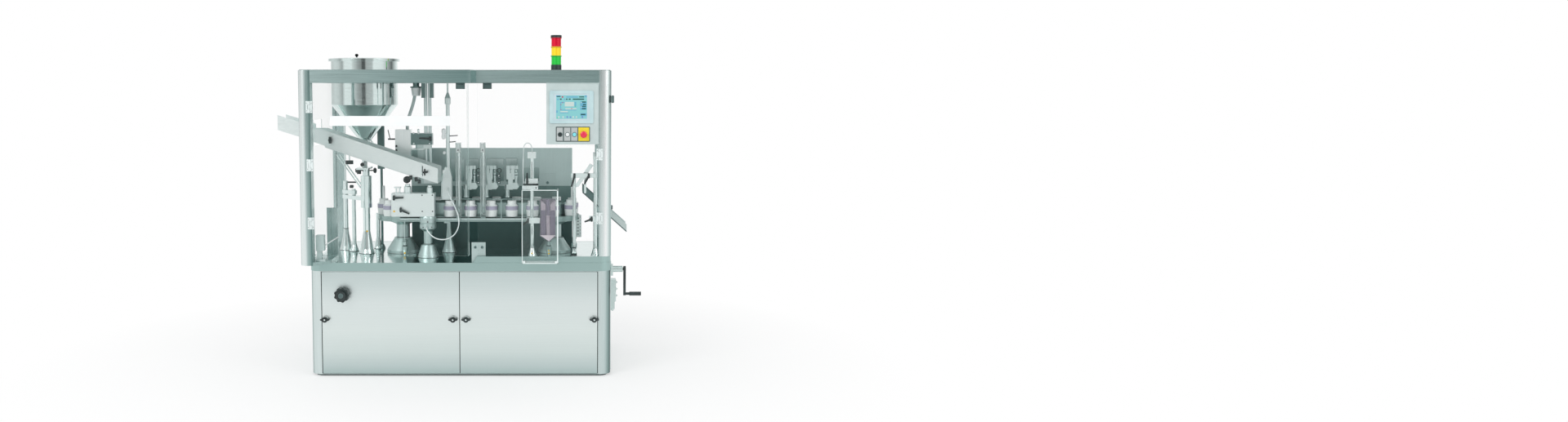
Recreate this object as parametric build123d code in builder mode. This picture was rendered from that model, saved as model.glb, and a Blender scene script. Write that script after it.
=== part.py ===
from build123d import *
import os
from math import atan2, cos, degrees, hypot, pi, radians, sin, tan

os.makedirs("parts", exist_ok=True)

# Tube filling machine: a closed cabinet, a worktop with the filling track, and a glazed
# guard frame above it. All sizes are in millimetres. X runs to the right, the front is
# at -Y, Z is up, and the origin is on the floor under the middle of the cabinet.

# Cabinet
cabinet_width = 1940
cabinet_depth = 1050
cabinet_corner = 75
plinth_height = 14
plinth_inset = 25
cabinet_height = 688
left_strip = 78
right_strip = 88
panel_thickness = 8
panel_gap = 4
panel_split = -6
panel_edge = 6

# Worktop
worktop_thickness = 54
worktop_proud = 3
lip_height = 41
lip_thickness = 20

# Guard frame
guard_height = 1153
beam_height = 78
post_width = 80
post_corner = 45
front_proud = 130
left_overhang = 30
jog_left = 84
jog_right = 108
sheet = 8
roof_sheet = 4
sheet_gap = 7
door_bottom_gap = 63

# Hinges of the clear doors
hinge_height = 74
hinge_radius = 8
hinge_pin = 4
pin_clearance = 0.3
hinge_leaf = 11
hinge_reach = 9

# Operator panel
operator_width = 335
operator_height = 391
operator_depth = 108
operator_plate = 8

# Signal lamp
lamp_radius = 33
lamp_module = 54
lamp_ring = 6
lamp_base = 34
lamp_cap = 17
lamp_x = 615
lamp_y = -100

# Hopper
hopper_inset = 312
hopper_y = -5
hopper_radius = 223.5
hopper_wall = 3
hopper_above_roof = 77
hopper_straight = 305
hopper_cone_height = 250
outlet_radius = 34
outlet_length = 70

# Infeed chute, a trough that slopes down to the right
chute_front = -295
chute_width = 235
chute_side = 101
chute_wall = 3
chute_outer_reach = 212
chute_top_run = 70
chute_end_inset = 836
chute_end_height = 492
chute_slope = 18.6

# Filling track, an oval loop of carriers
loop_left = -432
loop_right = 603
loop_y = -28
loop_radius = 133
rail_half_width = 35
rail_height = 33
rail_above_table = 228
carrier_count = 21
carrier_radius = 42.5
carrier_height = 105
carrier_clearance = 0.3
tube_radius = 9
tube_height = 88

# Moving controls
latch_half_length = 31
latch_thickness = 15
latch_bore = 9
wheel_radius = 48
wheel_shaft = 10
crank_radius = 164
crank_grip = 100
seat_clearance = 0.3
stand_off = 6

# Places worked out from the sizes above
table = cabinet_height + worktop_thickness
rail_bottom = table + rail_above_table
rail_top = rail_bottom + rail_height
beam_bottom = table + guard_height
beam_top = beam_bottom + beam_height
roof_top = beam_top + roof_sheet
cabinet_left = -cabinet_width / 2
cabinet_right = cabinet_width / 2
cabinet_front = -cabinet_depth / 2
cabinet_back = cabinet_depth / 2
guard_left = cabinet_left - left_overhang
guard_front = cabinet_front - front_proud
left_post_inner = guard_left + post_width
right_post_inner = cabinet_right - post_width
rear_post_front = cabinet_back - post_width
chute_outer_end = guard_left - chute_outer_reach
chute_kink = guard_left + chute_top_run
chute_end = guard_left + chute_end_inset
hopper_x = guard_left + hopper_inset
panel_left = cabinet_left + left_strip
panel_right = cabinet_right - right_strip


def write_piece(piece, name):
    """Label a finished piece and write it to its own file."""
    piece.part.label = name
    export_step(piece.part, f"parts/{name}.step")


def front_plane(x, y):
    """Give the upright plane that is drawn on from the front, at x and y."""
    return Plane(origin=(x, y, 0), x_dir=(1, 0, 0), z_dir=(0, -1, 0))


def block(x, y, z, mode=Mode.ADD):
    """Add a straight block between the given limits along each axis."""
    with Locations(((x[0] + x[1]) / 2, (y[0] + y[1]) / 2, (z[0] + z[1]) / 2)):
        Box(x[1] - x[0], y[1] - y[0], z[1] - z[0], mode=mode)


def upright(x, y, low, high, radius, mode=Mode.ADD):
    """Add a round bar that stands between two heights."""
    with Locations((x, y, (low + high) / 2)):
        Cylinder(radius, high - low, mode=mode)


def turned(x, y, outline, mode=Mode.ADD):
    """Add a turned piece on an upright axis, from its outline as (radius, height)."""
    with BuildSketch(front_plane(x, y)) as half:
        with BuildLine():
            Polyline([(0, outline[0][1])] + outline + [(0, outline[-1][1])], close=True)
        make_face()
    revolve(half.sketch, axis=Axis((x, y, 0), (0, 0, 1)), mode=mode)


def side_profile(corners, front, depth, mode=Mode.ADD):
    """Add a plate drawn as (x, height) corners in a front view, and its depth behind."""
    with BuildSketch(front_plane(0, front)) as face:
        with BuildLine():
            Polyline(corners, close=True)
        make_face()
    extrude(face.sketch, amount=-depth, mode=mode)


def facing(x, y, z, radius, length, mode=Mode.ADD):
    """Add a round boss whose axis runs front to back, from y backwards by length."""
    with Locations(Location((x, y + length / 2, z), (90, 0, 0))):
        Cylinder(radius, length, mode=mode)


def corner_post(x, y, low, high, rounded):
    """Add a square post with one rounded upright corner on the given side."""
    block((x, x + post_width), (y, y + post_width), (low, high))
    edge = edges().filter_by(Axis.Z).sort_by_distance((rounded[0], rounded[1], low))[0]
    fillet(edge, post_corner)


# Plinth and cabinet
with BuildPart() as plinth:
    with BuildSketch():
        RectangleRounded(
            cabinet_width - 2 * plinth_inset,
            cabinet_depth - 2 * plinth_inset,
            cabinet_corner - plinth_inset,
        )
    extrude(amount=plinth_height)
write_piece(plinth, "plinth")

with BuildPart() as cabinet_shell:
    with BuildSketch(Plane.XY.offset(plinth_height)):
        RectangleRounded(cabinet_width, cabinet_depth, cabinet_corner)
    extrude(amount=cabinet_height - plinth_height)
    panel_bottom = plinth_height + panel_edge
    panel_top = cabinet_height - panel_edge
    block(
        (panel_left - panel_gap, panel_right + panel_gap),
        (cabinet_front, cabinet_front + panel_thickness),
        (panel_bottom - panel_gap, panel_top + panel_gap),
        mode=Mode.SUBTRACT,
    )
write_piece(cabinet_shell, "cabinet_shell")

# Front panels, each held by two wing latches
latch_height = 375
latch_inset = 20
wheel_height = cabinet_height - 148
wheel_x = panel_left + 136
latch_places = [
    panel_left + latch_inset,
    panel_split - panel_gap / 2 - latch_inset * 2,
    panel_split + panel_gap / 2 + latch_inset * 2,
    panel_right - latch_inset,
]
boss_thickness = 12
boss_radius = 31
escutcheon = 17
bore_depth = 14


def front_panel(left, right, latches):
    """Add a cabinet panel with a round plate and a bore for each latch."""
    with BuildSketch(front_plane(0, cabinet_front)) as outline:
        with Locations(((left + right) / 2, (panel_bottom + panel_top) / 2)):
            RectangleRounded(right - left, panel_top - panel_bottom, 3)
    extrude(outline.sketch, amount=-panel_thickness)
    for x in latches:
        facing(x, cabinet_front - stand_off, latch_height, escutcheon, stand_off)
        facing(x, cabinet_front - stand_off, latch_height, latch_bore + seat_clearance,
               stand_off + panel_thickness / 2, mode=Mode.SUBTRACT)


with BuildPart() as cabinet_panel_left:
    front_panel(panel_left, panel_split - panel_gap / 2, latch_places[:2])
    facing(wheel_x, cabinet_front - boss_thickness, wheel_height, boss_radius, boss_thickness)
    facing(wheel_x, cabinet_front - boss_thickness, wheel_height, wheel_shaft + seat_clearance,
           bore_depth, mode=Mode.SUBTRACT)
write_piece(cabinet_panel_left, "cabinet_panel_left")

with BuildPart() as cabinet_panel_right:
    front_panel(panel_split + panel_gap / 2, panel_right, latch_places[2:])
write_piece(cabinet_panel_right, "cabinet_panel_right")

# Plain cover panels on both sides and on the back
cover = 3
cover_inset = 110
with BuildPart() as cabinet_cover_panels:
    for side in (-1, 1):
        face = side * cabinet_width / 2
        block((min(face, face + side * cover), max(face, face + side * cover)),
              (cabinet_front + cover_inset, cabinet_back - cover_inset),
              (panel_bottom, panel_top))
    for left, right in ((panel_left, panel_split - panel_gap), (panel_split, panel_right)):
        block((left, right), (cabinet_back, cabinet_back + cover), (panel_bottom, panel_top))
write_piece(cabinet_cover_panels, "cabinet_cover_panels")

# Worktop, with a raised lip along its right front and its right side
with BuildPart() as worktop:
    with BuildSketch(Plane.XY.offset(cabinet_height)):
        RectangleRounded(
            cabinet_width + 2 * worktop_proud,
            cabinet_depth + 2 * worktop_proud,
            cabinet_corner + worktop_proud,
        )
    extrude(amount=worktop_thickness)
    with BuildSketch(Plane.XY.offset(table)):
        RectangleRounded(cabinet_width, cabinet_depth, cabinet_corner)
        RectangleRounded(
            cabinet_width - 2 * lip_thickness,
            cabinet_depth - 2 * lip_thickness,
            cabinet_corner - lip_thickness,
            mode=Mode.SUBTRACT,
        )
        with Locations(((jog_right + cabinet_right) / 2, -post_width)):
            Rectangle(cabinet_right - jog_right, cabinet_depth, mode=Mode.INTERSECT)
    extrude(amount=lip_height)
    for y in (cabinet_front, rear_post_front):
        with BuildSketch(Plane.XY.offset(table)):
            with Locations((cabinet_right - post_width / 2, y + post_width / 2)):
                Rectangle(post_width, post_width)
            RectangleRounded(cabinet_width, cabinet_depth, cabinet_corner, mode=Mode.INTERSECT)
        extrude(amount=lip_height)
    side_profile([(jog_left, table), (jog_right, table), (jog_right, table + lip_height)],
                 cabinet_front, lip_thickness)
write_piece(worktop, "worktop")

# Posts of the guard frame. The left one stands on a flat bracket in front of the worktop,
# with an upright plate at its back
post_foot = table + 20
bracket_reach = 95
bracket_back = cabinet_front + 230
bracket_plate = (bracket_reach - 73, 8, 333)
with BuildPart() as left_post:
    corner_post(guard_left, guard_front, post_foot, beam_top, (guard_left, guard_front))
    with BuildSketch(Plane.XY.offset(table)) as bracket:
        with BuildLine():
            Polyline(
                (guard_left, guard_front),
                (left_post_inner, guard_front),
                (left_post_inner + bracket_reach, cabinet_front),
                (left_post_inner + bracket_reach, bracket_back),
                (guard_left, bracket_back),
                close=True,
            )
        make_face()
        fillet(vertices().sort_by_distance((guard_left, guard_front))[0], post_corner)
    extrude(bracket.sketch, amount=post_foot - table)
    block((left_post_inner + bracket_plate[0], left_post_inner + bracket_reach),
          (bracket_back - bracket_plate[1], bracket_back), (post_foot, table + bracket_plate[2]))
write_piece(left_post, "left_post")

with BuildPart() as right_post:
    corner_post(right_post_inner, cabinet_front, table + lip_height, beam_top,
                (cabinet_right, cabinet_front))
write_piece(right_post, "right_post")

with BuildPart() as rear_posts:
    corner_post(guard_left, rear_post_front, table, beam_top, (guard_left, cabinet_back))
    corner_post(right_post_inner, rear_post_front, table + lip_height, beam_top,
                (cabinet_right, cabinet_back))
write_piece(rear_posts, "rear_posts")

# Beams and roof of the guard frame
with BuildPart() as top_beam_left:
    with BuildSketch(Plane.XY.offset(beam_bottom)):
        with BuildLine():
            Polyline(
                (left_post_inner, guard_front),
                (jog_left, guard_front),
                (jog_right, cabinet_front),
                (jog_right, cabinet_front + post_width),
                (jog_right - post_width, cabinet_front + post_width),
                (jog_right - post_width, guard_front + post_width),
                (left_post_inner, guard_front + post_width),
                close=True,
            )
        make_face()
    extrude(amount=beam_height)
write_piece(top_beam_left, "top_beam_left")

with BuildPart() as top_beam_right:
    block((jog_right, right_post_inner), (cabinet_front, cabinet_front + post_width),
          (beam_bottom, beam_top))
write_piece(top_beam_right, "top_beam_right")

with BuildPart() as top_beams_side:
    block((guard_left, left_post_inner), (guard_front + post_width, rear_post_front),
          (beam_bottom, beam_top))
    block((right_post_inner, cabinet_right), (cabinet_front + post_width, rear_post_front),
          (beam_bottom, beam_top))
write_piece(top_beams_side, "top_beams_side")

with BuildPart() as top_beam_rear:
    block((left_post_inner, right_post_inner), (rear_post_front, cabinet_back),
          (beam_bottom, beam_top))
write_piece(top_beam_rear, "top_beam_rear")

roof_inset = 6
hopper_gap = 4
with BuildPart() as roof_plate:
    with BuildSketch(Plane.XY.offset(beam_top)):
        with BuildLine():
            Polyline(
                (guard_left, guard_front),
                (jog_left, guard_front),
                (jog_right, cabinet_front),
                (cabinet_right, cabinet_front),
                (cabinet_right, cabinet_back),
                (guard_left, cabinet_back),
                close=True,
            )
        make_face()
        corners = vertices().sort_by_distance((0, 0))[-4:]
        fillet(corners, post_corner)
        offset(amount=-roof_inset)
        with Locations((hopper_x, hopper_y)):
            Circle(hopper_radius + hopper_gap, mode=Mode.SUBTRACT)
    extrude(amount=roof_sheet)
write_piece(roof_plate, "roof_plate")

# Clear guards on the left, on the right and at the back
guard_inset = 20
chute_window_margin = 15
chute_back = chute_front + chute_width
with BuildPart() as left_guard:
    block((guard_left + guard_inset, guard_left + guard_inset + sheet),
          (guard_front + post_width, rear_post_front), (post_foot, beam_bottom))
    block((guard_left, left_post_inner),
          (chute_front - chute_window_margin, chute_back + chute_window_margin),
          (table + chute_end_height + 246, table + chute_end_height + 420),
          mode=Mode.SUBTRACT)
write_piece(left_guard, "left_guard")

exit_front = -250
exit_width = 160
exit_margin = 15
exit_window = (exit_front - exit_margin, exit_front + exit_width + exit_margin)
with BuildPart() as right_guard:
    block((cabinet_right - guard_inset - sheet, cabinet_right - guard_inset),
          (cabinet_front + post_width, rear_post_front), (table + lip_height, beam_bottom))
    block((right_post_inner, cabinet_right), exit_window, (table + 180, table + 420),
          mode=Mode.SUBTRACT)
write_piece(right_guard, "right_guard")

with BuildPart() as rear_guard:
    block((left_post_inner, right_post_inner),
          (cabinet_back - guard_inset - sheet, cabinet_back - guard_inset),
          (table, beam_bottom))
write_piece(rear_guard, "rear_guard")

# Hinges: each has a fixed leaf on the post and a leaf on the door, with knuckles on a pin
knuckle_gap = 1
hinge_plate = 4
hinge_offset = hinge_radius + knuckle_gap
left_axis_x = left_post_inner - 4
left_axis_y = guard_front - hinge_offset
right_axis_x = right_post_inner + 4
right_axis_y = cabinet_front - hinge_offset
left_hinge_shares = (0.235, 0.553, 0.869)
left_hinge_heights = [table + share * guard_height for share in left_hinge_shares]
operator_bottom = beam_bottom - operator_height
right_hinge_heights = (table + 0.25 * guard_height, operator_bottom - 64)


def hinge_half(axis_x, axis_y, side, bands, middle):
    """Add one leaf of a hinge, with a knuckle in each band of heights."""
    near = axis_x + side * hinge_reach
    far = near + side * hinge_leaf
    block((min(near, far), max(near, far)), (axis_y - hinge_plate, axis_y + hinge_offset),
          (middle - hinge_height / 2, middle + hinge_height / 2))
    for low, high in bands:
        block((min(axis_x, near), max(axis_x, near)), (axis_y - hinge_plate, axis_y + hinge_plate),
              (low, high))
        upright(axis_x, axis_y, low, high, hinge_radius)


def fixed_leaf(axis_x, axis_y, side, middle):
    """Add the leaf on the post, with its two bored end knuckles."""
    sixth = hinge_height / 6
    bands = [(middle - hinge_height / 2, middle - sixth - knuckle_gap),
             (middle + sixth + knuckle_gap, middle + hinge_height / 2)]
    hinge_half(axis_x, axis_y, side, bands, middle)
    upright(axis_x, axis_y, middle - hinge_height, middle + hinge_height,
            hinge_pin + pin_clearance, mode=Mode.SUBTRACT)


def door_leaf(axis_x, axis_y, side, middle):
    """Add the leaf on the door, with its middle knuckle and the pin."""
    sixth = hinge_height / 6
    hinge_half(axis_x, axis_y, side, [(middle - sixth, middle + sixth)], middle)
    upright(axis_x, axis_y, middle - hinge_height / 2, middle + hinge_height / 2, hinge_pin)


with BuildPart() as hinge_leaves:
    for middle in left_hinge_heights:
        fixed_leaf(left_axis_x, left_axis_y, -1, middle)
    for middle in right_hinge_heights:
        fixed_leaf(right_axis_x, right_axis_y, 1, middle)
write_piece(hinge_leaves, "hinge_leaves")

with BuildPart() as left_door_hinges:
    for middle in left_hinge_heights:
        door_leaf(left_axis_x, left_axis_y, 1, middle)
write_piece(left_door_hinges, "left_door_hinges")

with BuildPart() as right_door_hinges:
    for middle in right_hinge_heights:
        door_leaf(right_axis_x, right_axis_y, -1, middle)
write_piece(right_door_hinges, "right_door_hinges")

# Left door, a clear sheet with a bent return along its free edge
door_return = 60
left_door_left = left_post_inner + sheet_gap
left_door_right = jog_left - sheet_gap - 10
door_top = beam_bottom - sheet_gap
with BuildPart() as left_door:
    block((left_door_left, left_door_right), (guard_front, guard_front + sheet),
          (table + door_bottom_gap, door_top))
    block((left_door_right - sheet, left_door_right), (guard_front, guard_front + door_return),
          (table + door_bottom_gap, door_top))
    fillet(edges().filter_by(Axis.Z).sort_by_distance((left_door_right, guard_front, table))[0],
           sheet - 1)
write_piece(left_door, "left_door")

# Right door, a clear sheet that is cut away round the operator panel
operator_left = right_post_inner - operator_width
right_door_left = jog_right + sheet_gap
right_door_right = right_post_inner - sheet_gap
right_door_bottom = table + lip_height + sheet_gap
with BuildPart() as right_door:
    side_profile(
        [
            (right_door_left, right_door_bottom),
            (right_door_right, right_door_bottom),
            (right_door_right, operator_bottom - sheet_gap),
            (operator_left - sheet_gap, operator_bottom - sheet_gap),
            (operator_left - sheet_gap, door_top),
            (right_door_left, door_top),
        ],
        cabinet_front,
        sheet,
    )
write_piece(right_door, "right_door")

# Clear reject pocket on the right door, with a smoked trough inside it
pocket_left = 400
pocket_right = 631
pocket_low = table + 8
pocket_high = table + 479
pocket_depth = 100
pocket_wall = 6
lip_clearance = 9
pocket_front = cabinet_front - pocket_depth
with BuildPart() as reject_pocket:
    block((pocket_left, pocket_right), (pocket_front, cabinet_front), (pocket_low, pocket_high))
    block((pocket_left + pocket_wall, pocket_right - pocket_wall),
          (pocket_front + pocket_wall, cabinet_front), (pocket_low + pocket_wall, pocket_high),
          mode=Mode.SUBTRACT)
    block((pocket_left, pocket_right), (cabinet_front - lip_clearance, cabinet_front),
          (pocket_low, right_door_bottom + sheet_gap), mode=Mode.SUBTRACT)
write_piece(reject_pocket, "reject_pocket")

trough_left = 514
trough_right = 616
trough_depth = 75
trough_top = pocket_high - 60
trough_side_low = pocket_low + 175
trough_point = pocket_low + 135
trough_middle = (trough_left + trough_right) / 2 + 7
trough_wall = 4
with BuildPart() as reject_trough:
    side_profile(
        [(trough_left, trough_top), (trough_left, trough_side_low), (trough_middle, trough_point),
         (trough_right, trough_side_low), (trough_right, trough_top)],
        cabinet_front - trough_depth,
        trough_depth,
    )
    side_profile(
        [(trough_left + trough_wall, trough_top),
         (trough_left + trough_wall, trough_side_low + trough_wall),
         (trough_middle, trough_point + trough_wall * 2),
         (trough_right - trough_wall, trough_side_low + trough_wall),
         (trough_right - trough_wall, trough_top)],
        cabinet_front - trough_depth + trough_wall,
        trough_depth - 2 * trough_wall,
        mode=Mode.SUBTRACT,
    )
write_piece(reject_trough, "reject_trough")

# Switches under the beams, the switch on the left post bracket, and the catch plate
# between the two doors
switch_height = 39
catch_thickness = 6
lock_left = left_post_inner + 8
lock_front = cabinet_front - 75
with BuildPart() as door_switches:
    for x, front in ((-10, guard_front + 20), (150, cabinet_front + 20)):
        block((x, x + 55), (front, front + 40), (beam_bottom - switch_height, beam_bottom))
        block((x + 8, x + 47), (front - 3, front), (beam_bottom - switch_height, beam_bottom - 12))
    block((lock_left, lock_left + 62), (lock_front, lock_front + 60), (post_foot, post_foot + 13))
    block((lock_left + 7, lock_left + 37), (lock_front + 10, lock_front + 40),
          (post_foot + 13, post_foot + 67))
    block((lock_left + 2, lock_left + 54), (lock_front, lock_front + 50),
          (post_foot + 67, post_foot + 166))
    block((jog_left - 12, jog_left + 78), (cabinet_front + 26, cabinet_front + 26 + catch_thickness),
          (table, table + 129))
    for x in (jog_left + 12, jog_left + 56):
        facing(x, cabinet_front + 20, table + 98, 9, 6)
write_piece(door_switches, "door_switches")

# Operator panel
with BuildPart() as operator_housing:
    block((operator_left, right_post_inner), (cabinet_front, cabinet_front + operator_depth),
          (operator_bottom, beam_bottom))
    with BuildSketch(front_plane(0, cabinet_front)):
        with Locations((operator_left + operator_width / 2 - 2, (operator_bottom + beam_bottom) / 2 - 4)):
            RectangleRounded(operator_width - 4, operator_height - 8, 4)
    extrude(amount=operator_plate)
write_piece(operator_housing, "operator_housing")

plate_front = cabinet_front - operator_plate
bezel_proud = 6
screen_left = operator_left + 21
screen_right = screen_left + 278
screen_bottom = operator_bottom + 134
screen_top = screen_bottom + 207
bezel_x = (screen_left + screen_right) / 2
bezel_z = (screen_bottom + screen_top) / 2
with BuildPart() as operator_screen:
    with BuildSketch(front_plane(0, plate_front)):
        with Locations((bezel_x, bezel_z)):
            RectangleRounded(screen_right - screen_left, screen_top - screen_bottom, 10)
    extrude(amount=bezel_proud)
    with BuildSketch(front_plane(0, plate_front - bezel_proud)):
        with Locations((bezel_x, bezel_z)):
            RectangleRounded(229, 172, 5)
    extrude(amount=-bezel_proud / 3, mode=Mode.SUBTRACT)
    with BuildSketch(front_plane(0, plate_front - bezel_proud * 2 / 3)):
        with Locations((bezel_x, bezel_z)):
            Rectangle(195, 149)
    extrude(amount=1)
write_piece(operator_screen, "operator_screen")

strip_proud = 3
button_z = operator_bottom + 63
button_places = (operator_left + 85, operator_left + 131, operator_left + 174)
stop_x = operator_left + 238
button_radius = 15
stop_radius = 22
with BuildPart() as control_buttons:
    with BuildSketch(front_plane(0, plate_front)):
        with Locations((operator_left + 169, button_z + 2)):
            RectangleRounded(216, 95, 6)
    extrude(amount=strip_proud)
    for x in button_places:
        facing(x, plate_front - strip_proud - 8, button_z, button_radius, 8)
    facing(stop_x, plate_front - strip_proud - 14, button_z, stop_radius / 2, 14)
    facing(stop_x, plate_front - strip_proud - 28, button_z, stop_radius, 14)
write_piece(control_buttons, "control_buttons")

# Signal lamp: a dark base, rings and cap on one core, and three lit modules
lamp_top_ring = roof_top + lamp_base
module_floors = [lamp_top_ring + lamp_ring + i * (lamp_module + lamp_ring) for i in range(3)]
lamp_core = 12
with BuildPart() as lamp_frame:
    turned(lamp_x, lamp_y, [(lamp_radius + 2, roof_top), (lamp_radius + 2, lamp_top_ring + lamp_ring)])
    for floor in module_floors:
        upright(lamp_x, lamp_y, floor, floor + lamp_module, lamp_core)
        upright(lamp_x, lamp_y, floor + lamp_module, floor + lamp_module + lamp_ring, lamp_radius + 2)
    cap_floor = module_floors[-1] + lamp_module + lamp_ring
    upright(lamp_x, lamp_y, cap_floor, cap_floor + lamp_cap, lamp_radius + 4)
    chamfer(faces().sort_by(Axis.Z)[-1].edges(), 3)
write_piece(lamp_frame, "lamp_frame")

with BuildPart() as lamp_modules:
    for floor in module_floors:
        upright(lamp_x, lamp_y, floor, floor + lamp_module, lamp_radius)
        upright(lamp_x, lamp_y, floor, floor + lamp_module, lamp_core, mode=Mode.SUBTRACT)
write_piece(lamp_modules, "lamp_modules")

# Hopper, a turned shell that hangs in the roof by a ring, and its lid
hopper_rim = roof_top + hopper_above_roof
shoulder = hopper_rim - hopper_straight
throat = shoulder - hopper_cone_height
outlet_low = throat - outlet_length
rim_reach = 16
rim_thickness = 14
ring_reach = 28
ring_thickness = 6
with BuildPart() as hopper_body:
    with BuildSketch(front_plane(hopper_x, hopper_y)):
        with BuildLine():
            Polyline(
                (hopper_radius, shoulder),
                (hopper_radius, roof_top),
                (hopper_radius + ring_reach, roof_top),
                (hopper_radius + ring_reach, roof_top + ring_thickness),
                (hopper_radius, roof_top + ring_thickness),
                (hopper_radius, hopper_rim - rim_thickness),
                (hopper_radius + rim_reach, hopper_rim - rim_thickness),
                (hopper_radius + rim_reach, hopper_rim),
                (hopper_radius - hopper_wall, hopper_rim),
                (hopper_radius - hopper_wall, shoulder),
                close=True,
            )
        make_face()
    revolve(axis=Axis((hopper_x, hopper_y, 0), (0, 0, 1)))
write_piece(hopper_body, "hopper_body")

with BuildPart() as hopper_cone:
    with BuildSketch(front_plane(hopper_x, hopper_y)):
        with BuildLine():
            Polyline(
                (outlet_radius, outlet_low),
                (outlet_radius, throat),
                (hopper_radius, shoulder),
                (hopper_radius - hopper_wall, shoulder),
                (outlet_radius - hopper_wall, throat + 2),
                (outlet_radius - hopper_wall, outlet_low),
                close=True,
            )
        make_face()
    revolve(axis=Axis((hopper_x, hopper_y, 0), (0, 0, 1)))
write_piece(hopper_cone, "hopper_cone")

lid_thickness = 3
lid_rise = 9
knob_offset = -50
knob_radius = 11.5
with BuildPart() as hopper_lid:
    with BuildSketch(front_plane(hopper_x, hopper_y)):
        with BuildLine():
            Polyline(
                (0, hopper_rim + lid_rise),
                (hopper_radius - 30, hopper_rim + lid_rise - 3),
                (hopper_radius + rim_reach, hopper_rim),
                (hopper_radius + rim_reach, hopper_rim + lid_thickness),
                (hopper_radius - 28, hopper_rim + lid_rise + lid_thickness - 3),
                (0, hopper_rim + lid_rise + lid_thickness),
                close=True,
            )
        make_face()
    revolve(axis=Axis((hopper_x, hopper_y, 0), (0, 0, 1)))
    knob_foot = hopper_rim + lid_rise
    turned(hopper_x + knob_offset, hopper_y, [
        (5, knob_foot),
        (5, knob_foot + 10),
        (knob_radius, knob_foot + 15),
        (knob_radius, knob_foot + 24),
        (7, knob_foot + 29),
    ])
write_piece(hopper_lid, "hopper_lid")

# Infeed chute: an outer trough that drops into the inner one, with a rail below
chute_floor = table + chute_end_height
fall = tan(radians(chute_slope))
inner_start = guard_left - 10
outer_side = 98
outer_fall = tan(radians(17.6))


def chute_bottom(x):
    """Give the height of the chute's underside at x."""
    return chute_floor + (chute_end - x) * fall


stem_place = (guard_left + 245, -240)
stem_low = table + 641
kink_top = chute_bottom(chute_kink) + chute_side
outer_low = chute_bottom(inner_start) + 4
outer_end_low = outer_low + (inner_start - chute_outer_end) * outer_fall
with BuildPart() as infeed_chute:
    side_profile(
        [
            (chute_outer_end, outer_end_low),
            (inner_start, outer_low),
            (inner_start, chute_bottom(inner_start)),
            (chute_end, chute_floor),
            (chute_end, chute_floor + chute_side),
            (chute_kink, kink_top),
            (inner_start, kink_top),
            (inner_start, outer_low + outer_side),
            (chute_outer_end, outer_end_low + outer_side),
        ],
        chute_front,
        chute_width,
    )
    side_profile(
        [
            (chute_outer_end, outer_end_low + chute_wall),
            (inner_start, outer_low + chute_wall),
            (chute_end, chute_floor + chute_wall),
            (chute_end, outer_end_low + 2 * outer_side),
            (chute_outer_end, outer_end_low + 2 * outer_side),
        ],
        chute_front + chute_wall,
        chute_width - 2 * chute_wall,
        mode=Mode.SUBTRACT,
    )
    rail_start = chute_kink + 20
    rail_end = chute_end - 130
    rail_depth = 14
    side_profile(
        [
            (rail_start, chute_bottom(rail_start)),
            (rail_end, chute_bottom(rail_end)),
            (rail_end, chute_bottom(rail_end) - rail_depth),
            (rail_start, chute_bottom(rail_start) - rail_depth),
        ],
        chute_front + 25,
        60,
    )
    block((chute_end - 106, chute_end - 102), (chute_front, chute_front + chute_wall),
          (chute_bottom(chute_end - 104) + 22, chute_bottom(chute_end - 104) + 82),
          mode=Mode.SUBTRACT)
    upright(stem_place[0], stem_place[1], stem_low, chute_bottom(stem_place[0]) - rail_depth / 2, 5)
write_piece(infeed_chute, "infeed_chute")

# Columns on the left of the worktop that carry the chute and its clamps
main_column = (guard_left + 328, -80)
near_column = (guard_left + 225, 15)
far_column = (guard_left + 157, 85)
short_column = (guard_left + 369, 145)
chute_seat = chute_bottom(main_column[0] + 45)
clamp_low = table + 360
clamp_high = table + 420


def column(place, foot_radius, foot_height, bar_radius, top):
    """Add a column with a foot that flares towards the worktop."""
    turned(place[0], place[1], [
        (foot_radius, table),
        (foot_radius * 0.8, table + foot_height * 0.2),
        (bar_radius * 1.25, table + foot_height * 0.75),
        (bar_radius, table + foot_height),
        (bar_radius, top),
    ])


def tie_bar(first, second, low, high, width):
    """Add a flat bar with round ends between two upright columns."""
    across = second[0] - first[0]
    along = second[1] - first[1]
    centre = (first[0] + across / 2, first[1] + along / 2)
    with BuildSketch(Plane.XY.offset(low)) as bar:
        with Locations(centre):
            SlotCenterToCenter(hypot(across, along), width, rotation=degrees(atan2(along, across)))
    extrude(bar.sketch, amount=high - low)


with BuildPart() as chute_columns:
    column(main_column, 56, 150, 24, chute_seat - 70)
    upright(main_column[0], main_column[1], table + 311, table + 528, 37)
    block((main_column[0] - 40, main_column[0] + 40), (chute_front + 60, chute_back),
          (chute_seat - 70, chute_seat - 58))
    block((main_column[0] - 6, main_column[0] + 6), (chute_front + 95, chute_back),
          (chute_seat - 60, chute_bottom(main_column[0] + 6)))
    column(near_column, 37, 60, 14, clamp_high + 10)
    column(far_column, 47, 148, 16.5, clamp_high + 60)
    column(short_column, 30, 75, 14, table + 250)
    tie_bar(main_column, near_column, clamp_low, clamp_low + 26, 62)
    tie_bar(near_column, far_column, clamp_low, clamp_low + 26, 46)
    tie_bar(near_column, far_column, clamp_high - 26, clamp_high, 46)
write_piece(chute_columns, "chute_columns")

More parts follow.
